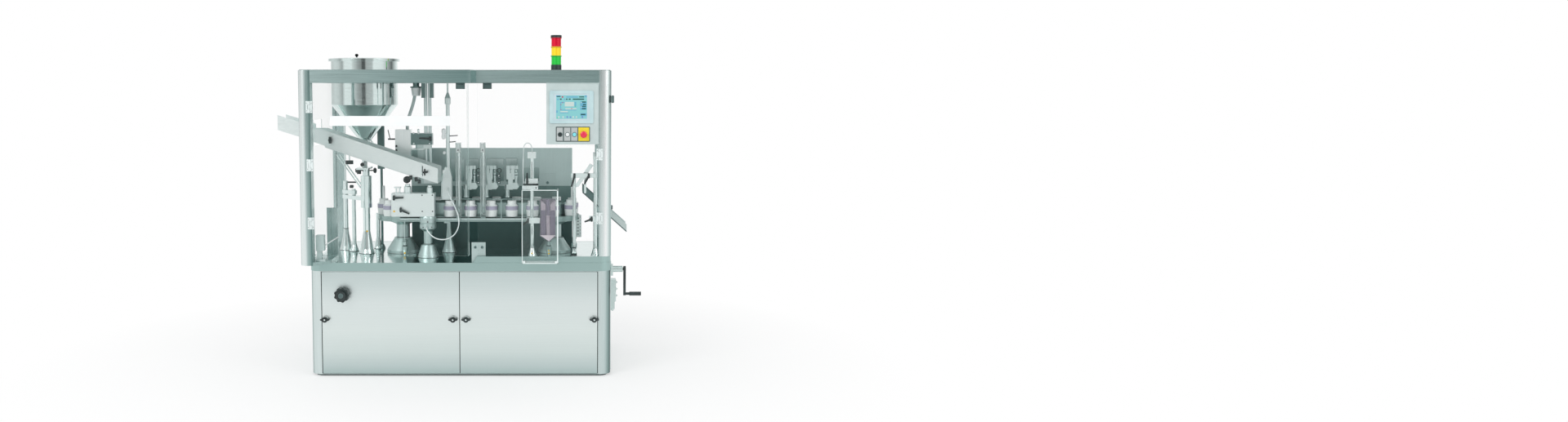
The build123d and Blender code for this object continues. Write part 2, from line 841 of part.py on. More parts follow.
# Supports of the filling track: two wide cones, a trumpet in the middle and three valves
wide_foot = 109
neck_radius = 45
seat_radius = loop_radius - rail_half_width + 8
trumpet_x = -119
valve_y = loop_y - loop_radius - rail_half_width + 10
valve_places = ((-400, valve_y), (565, valve_y), (loop_right + loop_radius, loop_y))
with BuildPart() as track_supports:
    for x in (loop_left, loop_right):
        turned(x, loop_y, [
            (wide_foot, table),
            (wide_foot, table + 21),
            (wide_foot * 0.55, table + 98),
            (neck_radius + 14, table + 98),
            (neck_radius + 14, table + 104),
            (neck_radius, table + 104),
            (neck_radius, rail_bottom - 34),
            (neck_radius + 20, rail_bottom - 24),
            (seat_radius, rail_bottom - 8),
            (seat_radius, rail_bottom),
        ])
    turned(trumpet_x, loop_y, [
        (50, table),
        (42, table + 22),
        (22, table + 95),
        (15, table + 165),
        (15, rail_bottom - 15),
    ])
    block((trumpet_x - 20, trumpet_x + 20),
          (loop_y - loop_radius, loop_y + loop_radius), (rail_bottom - 15, rail_bottom))
    for x, y in valve_places:
        turned(x, y, [
            (11, table),
            (19, table + 38),
            (19, table + 60),
            (13, table + 64),
            (13, table + 90),
            (16, table + 94),
            (16, table + 102),
            (4, table + 106),
            (4, rail_bottom),
        ])
write_piece(track_supports, "track_supports")

# Oval rail with the carriers that it guides, and the tubes in the end carriers
loop_length = loop_right - loop_left
loop_middle = (loop_left + loop_right) / 2
sight_x = (-34, 128)
sight_y = loop_y - loop_radius - rail_half_width - 29
sight_radius = 19.5
sight_low = rail_top
rail_front = loop_y - loop_radius - rail_half_width
rail_lip = 5
cover_clearance = 6
inner_cover_height = 86
guide_height = rail_top + carrier_height + 14
guide_left = -84
guide_right = 640
guide_posts = (-29, 248, 524)
with BuildPart() as track_rail:
    with BuildSketch(Plane.XY.offset(rail_bottom)):
        with Locations((loop_middle, loop_y)):
            SlotCenterToCenter(loop_length, 2 * (loop_radius + rail_half_width))
            SlotCenterToCenter(loop_length, 2 * (loop_radius - rail_half_width), mode=Mode.SUBTRACT)
    extrude(amount=rail_height)
    with BuildSketch(Plane.XY.offset(rail_bottom)):
        with Locations((loop_middle, loop_y)):
            SlotCenterToCenter(loop_length, 2 * (loop_radius + rail_half_width + rail_lip))
            SlotCenterToCenter(loop_length, 2 * (loop_radius - rail_half_width), mode=Mode.SUBTRACT)
    extrude(amount=rail_lip * 1.6)
    with BuildSketch(Plane.XY.offset(rail_bottom)):
        with Locations((loop_middle, loop_y)):
            SlotCenterToCenter(loop_length, 2 * (loop_radius - rail_half_width) + 1)
            SlotCenterToCenter(loop_length, 2 * (loop_radius - rail_half_width) - 40,
                               mode=Mode.SUBTRACT)
    extrude(amount=rail_lip)
    with BuildSketch(Plane.XY.offset(rail_bottom)):
        with Locations((loop_middle, loop_y)):
            SlotCenterToCenter(loop_length, 2 * (loop_radius - carrier_radius - cover_clearance))
            SlotCenterToCenter(loop_length, 2 * (loop_radius - carrier_radius - cover_clearance) - 8,
                               mode=Mode.SUBTRACT)
    extrude(amount=rail_height + inner_cover_height)
    for x in sight_x:
        block((x - 14, x + 14), (sight_y - 12, rail_front + 5), (rail_top - 10, sight_low))
    for x in guide_posts:
        block((x - 4, x + 4), (rail_front - 8, rail_front), (rail_bottom, guide_height))
    with Locations(Location(((guide_left + guide_right) / 2, rail_front - 5, guide_height),
                            (0, 90, 0))):
        Cylinder(3, guide_right - guide_left)
write_piece(track_rail, "track_rail")


def loop_place(share):
    """Give x and y at a share of the way round the oval loop of carriers."""
    arc = pi * loop_radius
    distance = (share % 1) * 2 * (loop_length + arc)
    if distance < loop_length:
        return loop_left + distance, loop_y - loop_radius
    distance = distance - loop_length
    if distance < arc:
        turn = distance / loop_radius
        return loop_right + loop_radius * sin(turn), loop_y - loop_radius * cos(turn)
    distance = distance - arc
    if distance < loop_length:
        return loop_right - distance, loop_y + loop_radius
    turn = (distance - loop_length) / loop_radius
    return loop_left - loop_radius * sin(turn), loop_y + loop_radius * cos(turn)


carrier_start = 0.0196
carrier_floor = rail_top + carrier_clearance
loaded_carriers = (9, 19)
with BuildPart() as carriers:
    for number in range(carrier_count):
        x, y = loop_place(carrier_start + number / carrier_count)
        turned(x, y, [
            (carrier_radius * 0.9, carrier_floor),
            (carrier_radius, carrier_floor + 40),
            (carrier_radius, carrier_floor + 72),
            (carrier_radius * 0.72, carrier_floor + 80),
            (carrier_radius * 0.72, carrier_floor + carrier_height),
        ])
        if number in loaded_carriers:
            upright(x, y, carrier_floor + carrier_height,
                    carrier_floor + carrier_height + tube_height, tube_radius)
write_piece(carriers, "carriers")

# Rotary unit in front of the track, which carries the drive box
rotary_x = -235
rotary_radius = 54.5
rotary_y = loop_y - loop_radius - carrier_radius - rotary_radius - 3
box_low = table + 274
port_reach = 12
port_height = table + 203
with BuildPart() as rotary_unit:
    turned(rotary_x, rotary_y, [
        (70.5, table),
        (45, table + 82),
        (36, table + 82),
        (36, table + 87),
        (28.5, table + 87),
        (28.5, table + 172),
        (40, table + 180),
        (rotary_radius, table + 192),
        (rotary_radius, table + 222),
        (rotary_radius - 3, table + 224),
        (rotary_radius - 3, table + 230),
        (rotary_radius, table + 232),
        (rotary_radius, box_low - 12),
        (rotary_radius - 4, box_low),
    ])
    facing(rotary_x, rotary_y - rotary_radius - port_reach, port_height, 9, port_reach + 10)
write_piece(rotary_unit, "rotary_unit")

box_left = -471
box_right = -188
box_height = 153
box_front = rotary_y - 48
box_back = loop_y - loop_radius - carrier_radius - 7
with BuildPart() as drive_box:
    block((box_left, box_right), (box_front, box_back), (box_low, box_low + box_height))
    fillet(edges().filter_by(Axis.Y), 2)
    for x, radius, height in ((-368, 24, 58), (-222, 19, 50)):
        turned(x, (box_front + box_back) / 2, [
            (radius, box_low + box_height),
            (radius, box_low + box_height + height * 0.7),
            (radius * 0.7, box_low + box_height + height * 0.8),
            (radius * 0.7, box_low + box_height + height),
        ])
    for x in (box_left + 31, box_left + 53):
        upright(x, box_front + 26, box_low + box_height, box_low + box_height + 34, 5)
    block((box_left + 17, box_left + 61), (box_front + 12, box_front + 44),
          (box_low + box_height + 34, box_low + box_height + 42))
write_piece(drive_box, "drive_box")

# Bulkhead behind the track, with the raised slide plates of the stations and a cover frame
bulkhead_left = -399
bulkhead_right = 724
bulkhead_y = 175
bulkhead_thickness = 12
bulkhead_height = 702
plate_thickness = 8
plate_low = table + 468
plate_corner = 8
slide_plates = ((-129, -26, 628), (2, 77, 628), (128, 249, 630), (258, 341, 632), (384, 495, 566))
cover_x = 555
cover_z = table + 456
cover_size = (109, 137)
cover_frame = 8
with BuildPart() as bulkhead:
    block((bulkhead_left, bulkhead_right), (bulkhead_y, bulkhead_y + bulkhead_thickness),
          (table, table + bulkhead_height))
    for x in (bulkhead_left + 90, bulkhead_right - 90):
        block((x - 15, x + 15), (bulkhead_y + bulkhead_thickness, bulkhead_y + 90),
              (table, table + 40))
    for left, right, top in slide_plates:
        with BuildSketch(front_plane(0, bulkhead_y)):
            with Locations(((left + right) / 2, (plate_low + table + top) / 2)):
                RectangleRounded(right - left, table + top - plate_low, plate_corner)
        extrude(amount=plate_thickness)
    with BuildSketch(front_plane(0, bulkhead_y)):
        with Locations((cover_x, cover_z)):
            RectangleRounded(cover_size[0], cover_size[1], plate_corner)
            RectangleRounded(cover_size[0] - 2 * cover_frame, cover_size[1] - 2 * cover_frame,
                             plate_corner / 2, mode=Mode.SUBTRACT)
    extrude(amount=plate_thickness)
write_piece(bulkhead, "bulkhead")

# Station heads that reach forward from the bulkhead over the loop. Each has a slotted face
# plate in two widths, a clamp on top, a stop block on each side, a small cylinder on the
# right one, and a jaw below
head_front = loop_y - 18
head_places = ((22, 21), (161, 21), (303, 28))
head_low = table + 429
head_step = head_low + 70
head_high = head_step + 70
head_plate = 16
neck = 15.5
jaw_low = carrier_floor + carrier_height + 10
with BuildPart() as station_heads:
    for x, half in head_places:
        block((x - half, x + half), (head_front, head_front + head_plate), (head_step, head_high))
        block((x - neck, x + neck), (head_front, head_front + head_plate), (head_low, head_step))
        block((x - half, x + half + 24), (head_front + 6, head_front + 36), (head_high, head_high + 24))
        for slot_x, slot_low in ((x, head_high - 22), (x + half + 6, head_high)):
            block((slot_x - 2.5, slot_x + 2.5), (head_front, head_front + head_plate + 4),
                  (slot_low, head_high + 24), mode=Mode.SUBTRACT)
        facing(x, head_front - 6, head_step + 34, 13, 6)
        facing(x, head_front - 6, head_step + 34, 6, 4, mode=Mode.SUBTRACT)
        facing(x, head_front, head_low + 21, 4, 5, mode=Mode.SUBTRACT)
        side_profile([(x + neck, head_low + 3), (x + 45, head_low + 3), (x + 58, head_low + 21),
                      (x + 45, head_low + 48), (x + neck, head_low + 48)], head_front + 2, 28)
        block((x - 40, x - neck), (head_front + 2, head_front + 26), (head_low + 3, head_low + 36))
        turned(x + 36, head_front + head_plate, [
            (9, head_low + 48),
            (9, head_step + 14),
            (12, head_step + 14),
            (12, head_step + 44),
            (7, head_step + 50),
            (7, head_high - 4),
        ])
        turned(x - 22, head_front + head_plate, [
            (17, jaw_low),
            (15, jaw_low + 12),
            (14, head_low + 4),
        ])
        block((x - 16, x + 16), (head_front + head_plate, bulkhead_y - plate_thickness),
              (head_step + 10, head_high - 10))
write_piece(station_heads, "station_heads")

# Loader mast: two shafts from the roof, a clamp block, and a motor whose lower half is
# ribbed, on a bearing housing that stands off the bulkhead
shaft_y = loop_y
shaft_places = (-271, -243)
shaft_radius = 12
crosshead_low = table + 470
clamp_block_low = table + 734
motor_left = -461
motor_right = -372
motor_low = table + 560
motor_split = table + 700
motor_high = table + 838
motor_rib = 6
motor_ribs = 8
housing_right = -285
with BuildPart() as loader_mast:
    for x in shaft_places:
        upright(x, shaft_y, crosshead_low, beam_top, shaft_radius)
        bracket = x + shaft_radius * (-1.2 if x == shaft_places[0] else 1.2)
        block((bracket - 12, bracket + 12), (shaft_y - 22, shaft_y + 22), (beam_bottom - 100, beam_top))
    block((-310, -205), (shaft_y - 16, shaft_y + 16), (crosshead_low, crosshead_low + 40))
    block((motor_right, -225), (shaft_y - 26, shaft_y + 26), (clamp_block_low, clamp_block_low + 80))
    block((-340, -240), (shaft_y - 20, shaft_y + 20), (clamp_block_low - 26, clamp_block_low))
    block((motor_left, motor_right), (chute_back + 3, shaft_y + 50), (motor_split, motor_high))
    block((motor_left + motor_rib, motor_right), (chute_back + 3 + motor_rib, shaft_y + 50),
          (motor_low, motor_split))
    rib_pitch = (motor_split - motor_low) / motor_ribs
    for number in range(motor_ribs):
        block((motor_left, motor_right), (chute_back + 3, shaft_y + 50),
              (motor_low + number * rib_pitch, motor_low + number * rib_pitch + motor_rib))
    block((motor_left - 17, motor_left), (shaft_y - 20, shaft_y + 40), (motor_low, motor_high))
    block((motor_right - 15, housing_right), (shaft_y + 10, bulkhead_y), (motor_low, motor_split))
write_piece(loader_mast, "loader_mast")

# Filling nozzle: a tapered body over the track, hung from the roof by its bar
nozzle_x = -118
nozzle_y = loop_y - 96
nozzle_low = carrier_floor + carrier_height + 8
nozzle_high = table + 588
inlet_reach = 42
inlet_height = table + 445
with BuildPart() as filling_nozzle:
    with BuildSketch(Plane.XY.offset(nozzle_low)):
        with Locations((nozzle_x - 4, nozzle_y)):
            RectangleRounded(78, 62, 12)
    with BuildSketch(Plane.XY.offset(nozzle_high - 70)):
        with Locations((nozzle_x - 2, nozzle_y)):
            RectangleRounded(72, 58, 12)
    loft()
    with BuildSketch(Plane.XY.offset(nozzle_high - 70)):
        with Locations((nozzle_x - 2, nozzle_y)):
            RectangleRounded(72, 58, 12)
    with BuildSketch(Plane.XY.offset(nozzle_high)):
        with Locations((nozzle_x, nozzle_y)):
            RectangleRounded(36, 42, 12)
    loft()
    turned(nozzle_x + 6, nozzle_y, [
        (13, nozzle_high - 10),
        (13, table + 1010),
        (20, table + 1012),
        (20, table + 1052),
        (6, table + 1090),
        (6, beam_top),
    ])
    block((nozzle_x - 50, nozzle_x + 34), (nozzle_y - 36, nozzle_y + 36), (nozzle_low - 3, nozzle_low))
    facing(nozzle_x + 5, nozzle_y - inlet_reach, inlet_height, 9, inlet_reach)
write_piece(filling_nozzle, "filling_nozzle")

# Two clear sight tubes that stand on brackets in front of the rail
sight_height = 498
sight_wall = 3
with BuildPart() as sight_tubes:
    for x in sight_x:
        upright(x, sight_y, sight_low, sight_low + sight_height, sight_radius)
        upright(x, sight_y, sight_low + 20, sight_low + sight_height, sight_radius - sight_wall,
                mode=Mode.SUBTRACT)
write_piece(sight_tubes, "sight_tubes")

# Graduated column at the front, and the columns beside the right door
ruler_place = (455, -275)
side_place = (right_post_inner - 17, -285)
knurled_place = (734, -285)
ruler_height = 698
with BuildPart() as ruler_column:
    turned(ruler_place[0], ruler_place[1], [
        (34, table),
        (30, table + 12),
        (14, table + 62),
        (12, table + 75),
        (12, table + ruler_height),
    ])
    block((ruler_place[0] - 4, ruler_place[0] + 4), (ruler_place[1] - 14, ruler_place[1]),
          (table + 110, table + ruler_height - 60))
    block((ruler_place[0] - 28, ruler_place[0] + 28), (ruler_place[1] - 20, ruler_place[1] + 20),
          (table + ruler_height - 40, table + ruler_height))
    block((ruler_place[0] - 42, ruler_place[0] + 40), (ruler_place[1] - 22, ruler_place[1] + 22),
          (table + 492, table + 525))
    block((ruler_place[0] - 64, ruler_place[0] + 42), (ruler_place[1] - 20, ruler_place[1] + 20),
          (table + 452, table + 478))
    block((ruler_place[0] - 36, ruler_place[0] + 60), (ruler_place[1] - 18, ruler_place[1] + 18),
          (table + 228, table + 264))
write_piece(ruler_column, "ruler_column")

arm_height = table + 530
exit_x = (790, 1083)
exit_z = (table + 478, table + 216)
exit_side = 52
exit_wall = 3
hanger_x = 807
hanger_low = exit_z[0] - exit_side
with BuildPart() as side_columns:
    turned(side_place[0], side_place[1], [
        (34, table),
        (28, table + 14),
        (14, table + 60),
        (12, table + 75),
        (12, table + ruler_height),
    ])
    block((side_place[0] - 15, side_place[0] + 15), (side_place[1] - 18, side_place[1] + 18),
          (table + ruler_height - 45, table + ruler_height))
    block((knurled_place[0] - 20, side_place[0] + 14), (side_place[1] - 16, side_place[1] + 16),
          (arm_height, arm_height + 30))
    block((hanger_x - 7, hanger_x + 7), (side_place[1] + 10, exit_front),
          (hanger_low, arm_height + 20))
    side_profile([(knurled_place[0] - 6, arm_height - 70), (knurled_place[0] + 30, arm_height - 60),
                  (knurled_place[0] + 128, arm_height + 80), (knurled_place[0] + 104, arm_height + 92)],
                 side_place[1] + 16, 10)
    block((side_place[0] - 40, side_place[0] + 14), (side_place[1] - 18, side_place[1] + 18),
          (table + 240, table + 276))
    turned(knurled_place[0], knurled_place[1], [
        (18, table),
        (18, table + 30),
        (13, table + 42),
        (11, table + 60),
        (11, arm_height),
    ])
write_piece(side_columns, "side_columns")

# Discharge chute that leaves through the right guard
with BuildPart() as discharge_chute:
    side_profile([(exit_x[0], exit_z[0] - exit_side), (exit_x[1], exit_z[1] - exit_side),
                  (exit_x[1], exit_z[1]), (exit_x[0], exit_z[0])], exit_front, exit_width)
    side_profile([(exit_x[0], exit_z[0] - exit_side + exit_wall),
                  (exit_x[1], exit_z[1] - exit_side + exit_wall),
                  (exit_x[1], exit_z[0] + 80), (exit_x[0], exit_z[0] + 80)],
                 exit_front + exit_wall, exit_width - 2 * exit_wall, mode=Mode.SUBTRACT)
write_piece(discharge_chute, "discharge_chute")

# Crank on the right side, which hangs from its bracket
crank_y = cabinet_front + 150
crank_z = table - 63
bracket_length = 78
side_face = cabinet_right + cover
crank_x = side_face + bracket_length
with BuildPart() as crank_bracket:
    block((side_face, side_face + 14), (crank_y - 34, crank_y + 34),
          (crank_z - 40, crank_z + 30))
    with Locations(Location((side_face + bracket_length / 2, crank_y, crank_z), (0, 90, 0))):
        Cylinder(20, bracket_length)
        Cylinder(10 + seat_clearance, bracket_length, mode=Mode.SUBTRACT)
write_piece(crank_bracket, "crank_bracket")

crank_gap = 5
arm_thickness = 16
with BuildPart() as crank:
    arm_x = crank_x + crank_gap
    with Locations(Location(((crank_x + arm_x) / 2 - 15, crank_y, crank_z), (0, 90, 0))):
        Cylinder(10, arm_x - crank_x + 30)
    with BuildSketch(Plane(origin=(arm_x, crank_y, 0), x_dir=(0, 1, 0), z_dir=(1, 0, 0))):
        with BuildLine():
            Polyline((-17, crank_z), (17, crank_z), (10, crank_z - crank_radius),
                     (-10, crank_z - crank_radius), close=True)
        make_face()
        with Locations((0, crank_z)):
            Circle(19)
        with Locations((0, crank_z - crank_radius)):
            Circle(12)
    extrude(amount=arm_thickness)
    with Locations(Location((arm_x + arm_thickness + crank_grip / 2, crank_y, crank_z - crank_radius),
                            (0, 90, 0))):
        Cylinder(9, crank_grip)
    with Locations(Location((arm_x + arm_thickness + crank_grip * 0.62, crank_y,
                             crank_z - crank_radius), (0, 90, 0))):
        Cylinder(13, crank_grip * 0.76)
write_piece(crank, "crank")

with BuildPart() as pneumatic_unit:
    block((side_face, side_face + 38), (crank_y + 55, crank_y + 135), (table - 290, table - 146))
    block((side_face, side_face + 30), (crank_y + 65, crank_y + 125), (table - 342, table - 290))
    fillet(edges().filter_by(Axis.Z).group_by(Axis.X)[-1], 5)
write_piece(pneumatic_unit, "pneumatic_unit")

# Handwheel with finger lobes, on a shaft in its boss
wheel_thickness = 36
wheel_gap = 5
hub_radius = 30
with BuildPart() as handwheel:
    wheel_back = cabinet_front - boss_thickness - wheel_gap
    with BuildSketch(front_plane(0, wheel_back)):
        with Locations((wheel_x, wheel_height)):
            Circle(wheel_radius - 5)
            with PolarLocations(wheel_radius - 9, 9):
                Circle(10)
    extrude(amount=wheel_thickness)
    facing(wheel_x, wheel_back - wheel_thickness - 26, wheel_height, hub_radius, 26)
    chamfer(faces().sort_by(Axis.Y)[0].edges(), 4)
    facing(wheel_x, wheel_back, wheel_height, wheel_shaft, wheel_gap + bore_depth - 3)
write_piece(handwheel, "handwheel")

# Clamp levers: a hub with an upright grip that faces the front, and a flat tapered arm
lever_hub = 8
lever_grip = 34
lever_depth = 20
lever_length = 62
arm_root = 7
arm_tip = 5
arm_flat = 8


def clamp_lever(x, y, z, turn, length=lever_length):
    """Add a clamp lever on the face at y, with its arm turned from +X towards +Z."""
    facing(x, y - lever_depth, z, lever_hub, lever_depth)
    with BuildSketch(front_plane(x, y - lever_depth / 3)) as grip:
        with Locations((0, z)):
            SlotOverall(lever_grip, lever_hub * 1.8, rotation=90)
    extrude(grip.sketch, amount=lever_depth / 2)
    ahead = cos(radians(turn))
    upwards = sin(radians(turn))
    side_profile(
        [
            (x - upwards * arm_root, z + ahead * arm_root),
            (x + ahead * length - upwards * arm_tip, z + upwards * length + ahead * arm_tip),
            (x + ahead * length + upwards * arm_tip, z + upwards * length - ahead * arm_tip),
            (x + upwards * arm_root, z - ahead * arm_root),
        ],
        y - lever_depth,
        arm_flat,
    )


def round_knob(x, y, z, radius):
    """Add a knob on the face at y, with a thin neck and a wide grip."""
    facing(x, y - 12, z, radius * 0.5, 12)
    facing(x, y - 28, z, radius, 16)


column_front = ruler_place[1] - 22
arm_front = side_place[1] - 16
with BuildPart() as clamp_levers:
    clamp_lever(box_left + 20, box_front, box_low + 125, 2)
    clamp_lever(box_left + 64, box_front, box_low + 46, -24)
    clamp_lever(-238, shaft_y - 26, clamp_block_low + 42, 176, 74)
    clamp_lever(knurled_place[0] + 2, arm_front, arm_height + 14, -106, 74)
    clamp_lever(knurled_place[0] + 96, arm_front, arm_height + 14, -118)
    clamp_lever(side_place[0] - 24, side_place[1] - 18, table + 258, -160, 50)
    clamp_lever(ruler_place[0] - 30, column_front, table + 508, 90, 56)
    clamp_lever(ruler_place[0] - 26, ruler_place[1] - 18, table + 246, -138, 46)
    round_knob(chute_kink + 64, chute_front, chute_bottom(chute_kink + 64) + 50, 11)
    block((chute_kink + 56, chute_kink + 72), (chute_front - 24, chute_front - 14),
          (chute_bottom(chute_kink + 64) + 28, chute_bottom(chute_kink + 64) + 72))
    round_knob(chute_end - 70, chute_front, chute_bottom(chute_end - 70) + 54, 8)
    upright(stem_place[0], stem_place[1], stem_low - 24, stem_low, 26)
    round_knob(main_column[0], chute_front + 95, chute_seat - 36, 13)
    upright(main_column[0] - 24, chute_front + 78, chute_seat - 98, chute_seat - 70, 14)
write_piece(clamp_levers, "clamp_levers")

# Hoses, each on a route of straight runs with an arc at every corner
bend_share = 0.45
filling_hose_size = 8
filling_hose_route = [
    (rotary_x, rotary_y - rotary_radius - port_reach, port_height),
    (rotary_x, -351, port_height),
    (-227, -377, 930),
    (-190, -380, 888),
    (-140, -376, 870),
    (-88, -358, 874),
    (-46, -328, 905),
    (-26, -296, 955),
    (-30, -276, 1015),
    (-58, -256, 1080),
    (-84, -238, 1128),
    (-104, -214, 1167),
    (nozzle_x + 5, nozzle_y - inlet_reach - 23, inlet_height),
    (nozzle_x + 5, nozzle_y - inlet_reach, inlet_height),
]
column_hose_size = 6
column_hose_route = [
    (457, -275, table + ruler_height),
    (457, -275, 1463),
    (452, -275, 1484),
    (438, -275, 1499),
    (419, -276, 1501),
    (406, -277, 1487),
    (401, -278, 1466),
    (400, -281, 1425),
    (398, -285, 1370),
    (397, -286, 1315),
    (398, -282, 1272),
    (400, -278, 1244),
    (400, -278, table + 478),
]
conduit_size = 22
conduit_route = [
    (-345, 0, beam_top),
    (-345, 0, 1925),
    (-343, 0, 1865),
    (-348, 0, 1800),
    (-364, 0, 1738),
    (-384, 0, 1682),
    (-401, 0, 1628),
    (-401, 0, motor_high),
]


def corner_radii(route):
    """Give the arc's radius at each corner of a route, as large as its runs allow."""
    radii = []
    for before, corner, after in zip(route, route[1:], route[2:]):
        first = Vector(corner) - Vector(before)
        second = Vector(after) - Vector(corner)
        half_turn = radians(first.get_angle(second)) / 2
        radii.append(bend_share * min(first.length, second.length) / tan(half_turn))
    return radii


def write_hose(route, size, name):
    """Sweep a round hose along a route, and write it to its own file."""
    radii = corner_radii(route)
    with BuildPart() as hose:
        with BuildLine() as line:
            FilletPolyline(*route, radius=radii)
        start = Vector(route[1]) - Vector(route[0])
        with BuildSketch(Plane(origin=route[0], z_dir=start)):
            Circle(size / 2)
        sweep(path=line.line)
    length = sum(edge.length for edge in line.line.edges())
    share = hose.part.volume / (pi * size**2 / 4 * length)
    print(name, "tightest arc", round(min(radii), 1), "length", round(length, 1),
          "volume against section times length", round(share, 3))
    write_piece(hose, name)


write_hose(filling_hose_route, filling_hose_size, "filling_hose")
write_hose(column_hose_route, column_hose_size, "column_hose")
write_hose(conduit_route, conduit_size, "motor_conduit")

# Wing latches of the cabinet panels
latch_gap = 5
latch_back = cabinet_front - stand_off - latch_gap


def wing_latch(x):
    """Add a wing latch with its cap and its stub in the panel."""
    with BuildSketch(front_plane(0, latch_back)) as wing:
        with Locations((x, latch_height)):
            Ellipse(latch_half_length, 9)
            Circle(18)
    extrude(wing.sketch, amount=latch_thickness)
    facing(x, latch_back - latch_thickness - 6, latch_height, 10, 6)
    facing(x, latch_back, latch_height, latch_bore, latch_gap + stand_off)


for number, place in enumerate(latch_places, 1):
    with BuildPart() as latch:
        wing_latch(place)
    write_piece(latch, f"wing_latch_{number}")
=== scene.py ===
from math import cos, pi, radians, sin, tau

import bmesh
import bpy
from mathutils import Matrix, Vector


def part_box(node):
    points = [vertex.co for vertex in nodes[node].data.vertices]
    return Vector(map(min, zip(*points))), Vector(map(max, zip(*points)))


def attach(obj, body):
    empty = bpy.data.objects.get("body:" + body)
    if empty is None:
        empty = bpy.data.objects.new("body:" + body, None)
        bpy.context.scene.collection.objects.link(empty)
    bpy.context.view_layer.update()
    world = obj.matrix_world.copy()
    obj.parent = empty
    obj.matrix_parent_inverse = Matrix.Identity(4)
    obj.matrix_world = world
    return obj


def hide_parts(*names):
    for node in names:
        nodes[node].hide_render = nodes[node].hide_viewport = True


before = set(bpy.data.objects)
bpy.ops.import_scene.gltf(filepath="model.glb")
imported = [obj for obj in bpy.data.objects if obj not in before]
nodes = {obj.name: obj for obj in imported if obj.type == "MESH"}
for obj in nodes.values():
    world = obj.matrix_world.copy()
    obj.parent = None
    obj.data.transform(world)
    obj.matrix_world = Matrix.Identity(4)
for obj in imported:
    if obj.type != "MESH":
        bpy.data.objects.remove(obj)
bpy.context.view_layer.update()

# Lengths here are in metres. X runs to the right, the front is at -Y and Z is up.

# Camera, worked out from the photograph's frame
PHOTO_WIDTH = 1920
FOCAL_PIXELS = 1427.2
SENSOR = 36
CAMERA_PLACE = (0.6702, -7.947, 1.8731)
CAMERA_PITCH = 4.583
SHIFT_X = 0.14
SHIFT_Y = -0.02


def make_camera():
    """Place the camera at the photograph's viewing angle."""
    data = bpy.data.cameras.new("camera")
    data.sensor_width = SENSOR
    data.lens = SENSOR * FOCAL_PIXELS / PHOTO_WIDTH
    data.shift_x = SHIFT_X
    data.shift_y = SHIFT_Y
    camera = bpy.data.objects.new("camera", data)
    camera.location = CAMERA_PLACE
    camera.rotation_euler = (radians(90 - CAMERA_PITCH), 0, 0)
    bpy.context.scene.collection.objects.link(camera)
    bpy.context.scene.camera = camera


# Materials: each one is built from nodes by a short function

def tone(red, green, blue):
    """Give a scene colour from its screen values, each from 0 to 255."""
    return tuple((part / 255 / 12.92 if part < 10.3 else ((part / 255 + 0.055) / 1.055) ** 2.4)
                 for part in (red, green, blue))


def add(tree, kind, **inputs):
    """Add a node and set its inputs by name, with spaces written as underscores."""
    made = tree.nodes.new(kind)
    for name, value in inputs.items():
        made.inputs[name.replace("_", " ")].default_value = value
    return made


def new_material(name, colour, metallic, roughness):
    """Make a material with one principled shader, and give its tree and shader too."""
    material = bpy.data.materials.new(name)
    material.use_nodes = True
    shader = material.node_tree.nodes["Principled BSDF"]
    shader.inputs["Base Color"].default_value = (*colour, 1)
    shader.inputs["Metallic"].default_value = metallic
    shader.inputs["Roughness"].default_value = roughness
    return material, material.node_tree, shader


def grain(tree, stretch, detail=3):
    """Give noise that is stretched by a scale for each axis, in repeats a metre."""
    place = add(tree, "ShaderNodeTexCoord")
    mapping = add(tree, "ShaderNodeMapping", Scale=stretch)
    noise = add(tree, "ShaderNodeTexNoise", Scale=1, Detail=detail, Roughness=0.6)
    tree.links.new(place.outputs["Object"], mapping.inputs["Vector"])
    tree.links.new(mapping.outputs["Vector"], noise.inputs["Vector"])
    return noise.outputs["Fac"]


def ranged(tree, value, low, high):
    """Spread a value that runs from about 0.3 to 0.7 between two limits."""
    spread = add(tree, "ShaderNodeMapRange", From_Min=0.3, From_Max=0.7, To_Min=low, To_Max=high)
    tree.links.new(value, spread.inputs["Value"])
    return spread.outputs["Result"]


def two_tone(tree, value, first, second):
    """Mix two colours by a value."""
    mix = tree.nodes.new("ShaderNodeMix")
    mix.data_type = "RGBA"
    mix.inputs["A"].default_value = (*first, 1)
    mix.inputs["B"].default_value = (*second, 1)
    for socket in mix.inputs:
        if socket.name == "A" and socket.type == "RGBA":
            socket.default_value = (*first, 1)
        if socket.name == "B" and socket.type == "RGBA":
            socket.default_value = (*second, 1)
    tree.links.new(value, mix.inputs["Factor"])
    return [socket for socket in mix.outputs if socket.type == "RGBA"][0]


def bumped(tree, shader, height, strength, distance=0.0004, edge=0.0):
    """Raise the surface by a height, and round its sharp edges by edge metres."""
    bump = add(tree, "ShaderNodeBump", Strength=strength, Distance=distance)
    tree.links.new(height, bump.inputs["Height"])
    if edge:
        bevel = add(tree, "ShaderNodeBevel", Radius=edge)
        bevel.samples = 4
        tree.links.new(bevel.outputs["Normal"], bump.inputs["Normal"])
    tree.links.new(bump.outputs["Normal"], shader.inputs["Normal"])


def brushed(name, dark, light, roughness, stretch, edge=0.0015, metallic=1.0):
    """Make brushed steel, with its lines along the axis that has the smallest scale."""
    material, tree, shader = new_material(name, light, metallic, roughness)
    lines = grain(tree, stretch)
    clouds = grain(tree, (1.7, 1.7, 1.7), detail=2)
    both = add(tree, "ShaderNodeMath")
    both.operation = "ADD"
    half = add(tree, "ShaderNodeMath")
    half.operation = "MULTIPLY"
    half.inputs[1].default_value = 0.5
    tree.links.new(lines, both.inputs[0])
    tree.links.new(clouds, both.inputs[1])
    tree.links.new(both.outputs[0], half.inputs[0])
    colour = two_tone(tree, ranged(tree, half.outputs[0], 0, 1), dark, light)
    tree.links.new(colour, shader.inputs["Base Color"])
    tree.links.new(ranged(tree, lines, roughness - 0.07, roughness + 0.08), shader.inputs["Roughness"])
    bumped(tree, shader, lines, 0.25, 0.0002, edge)
    return material


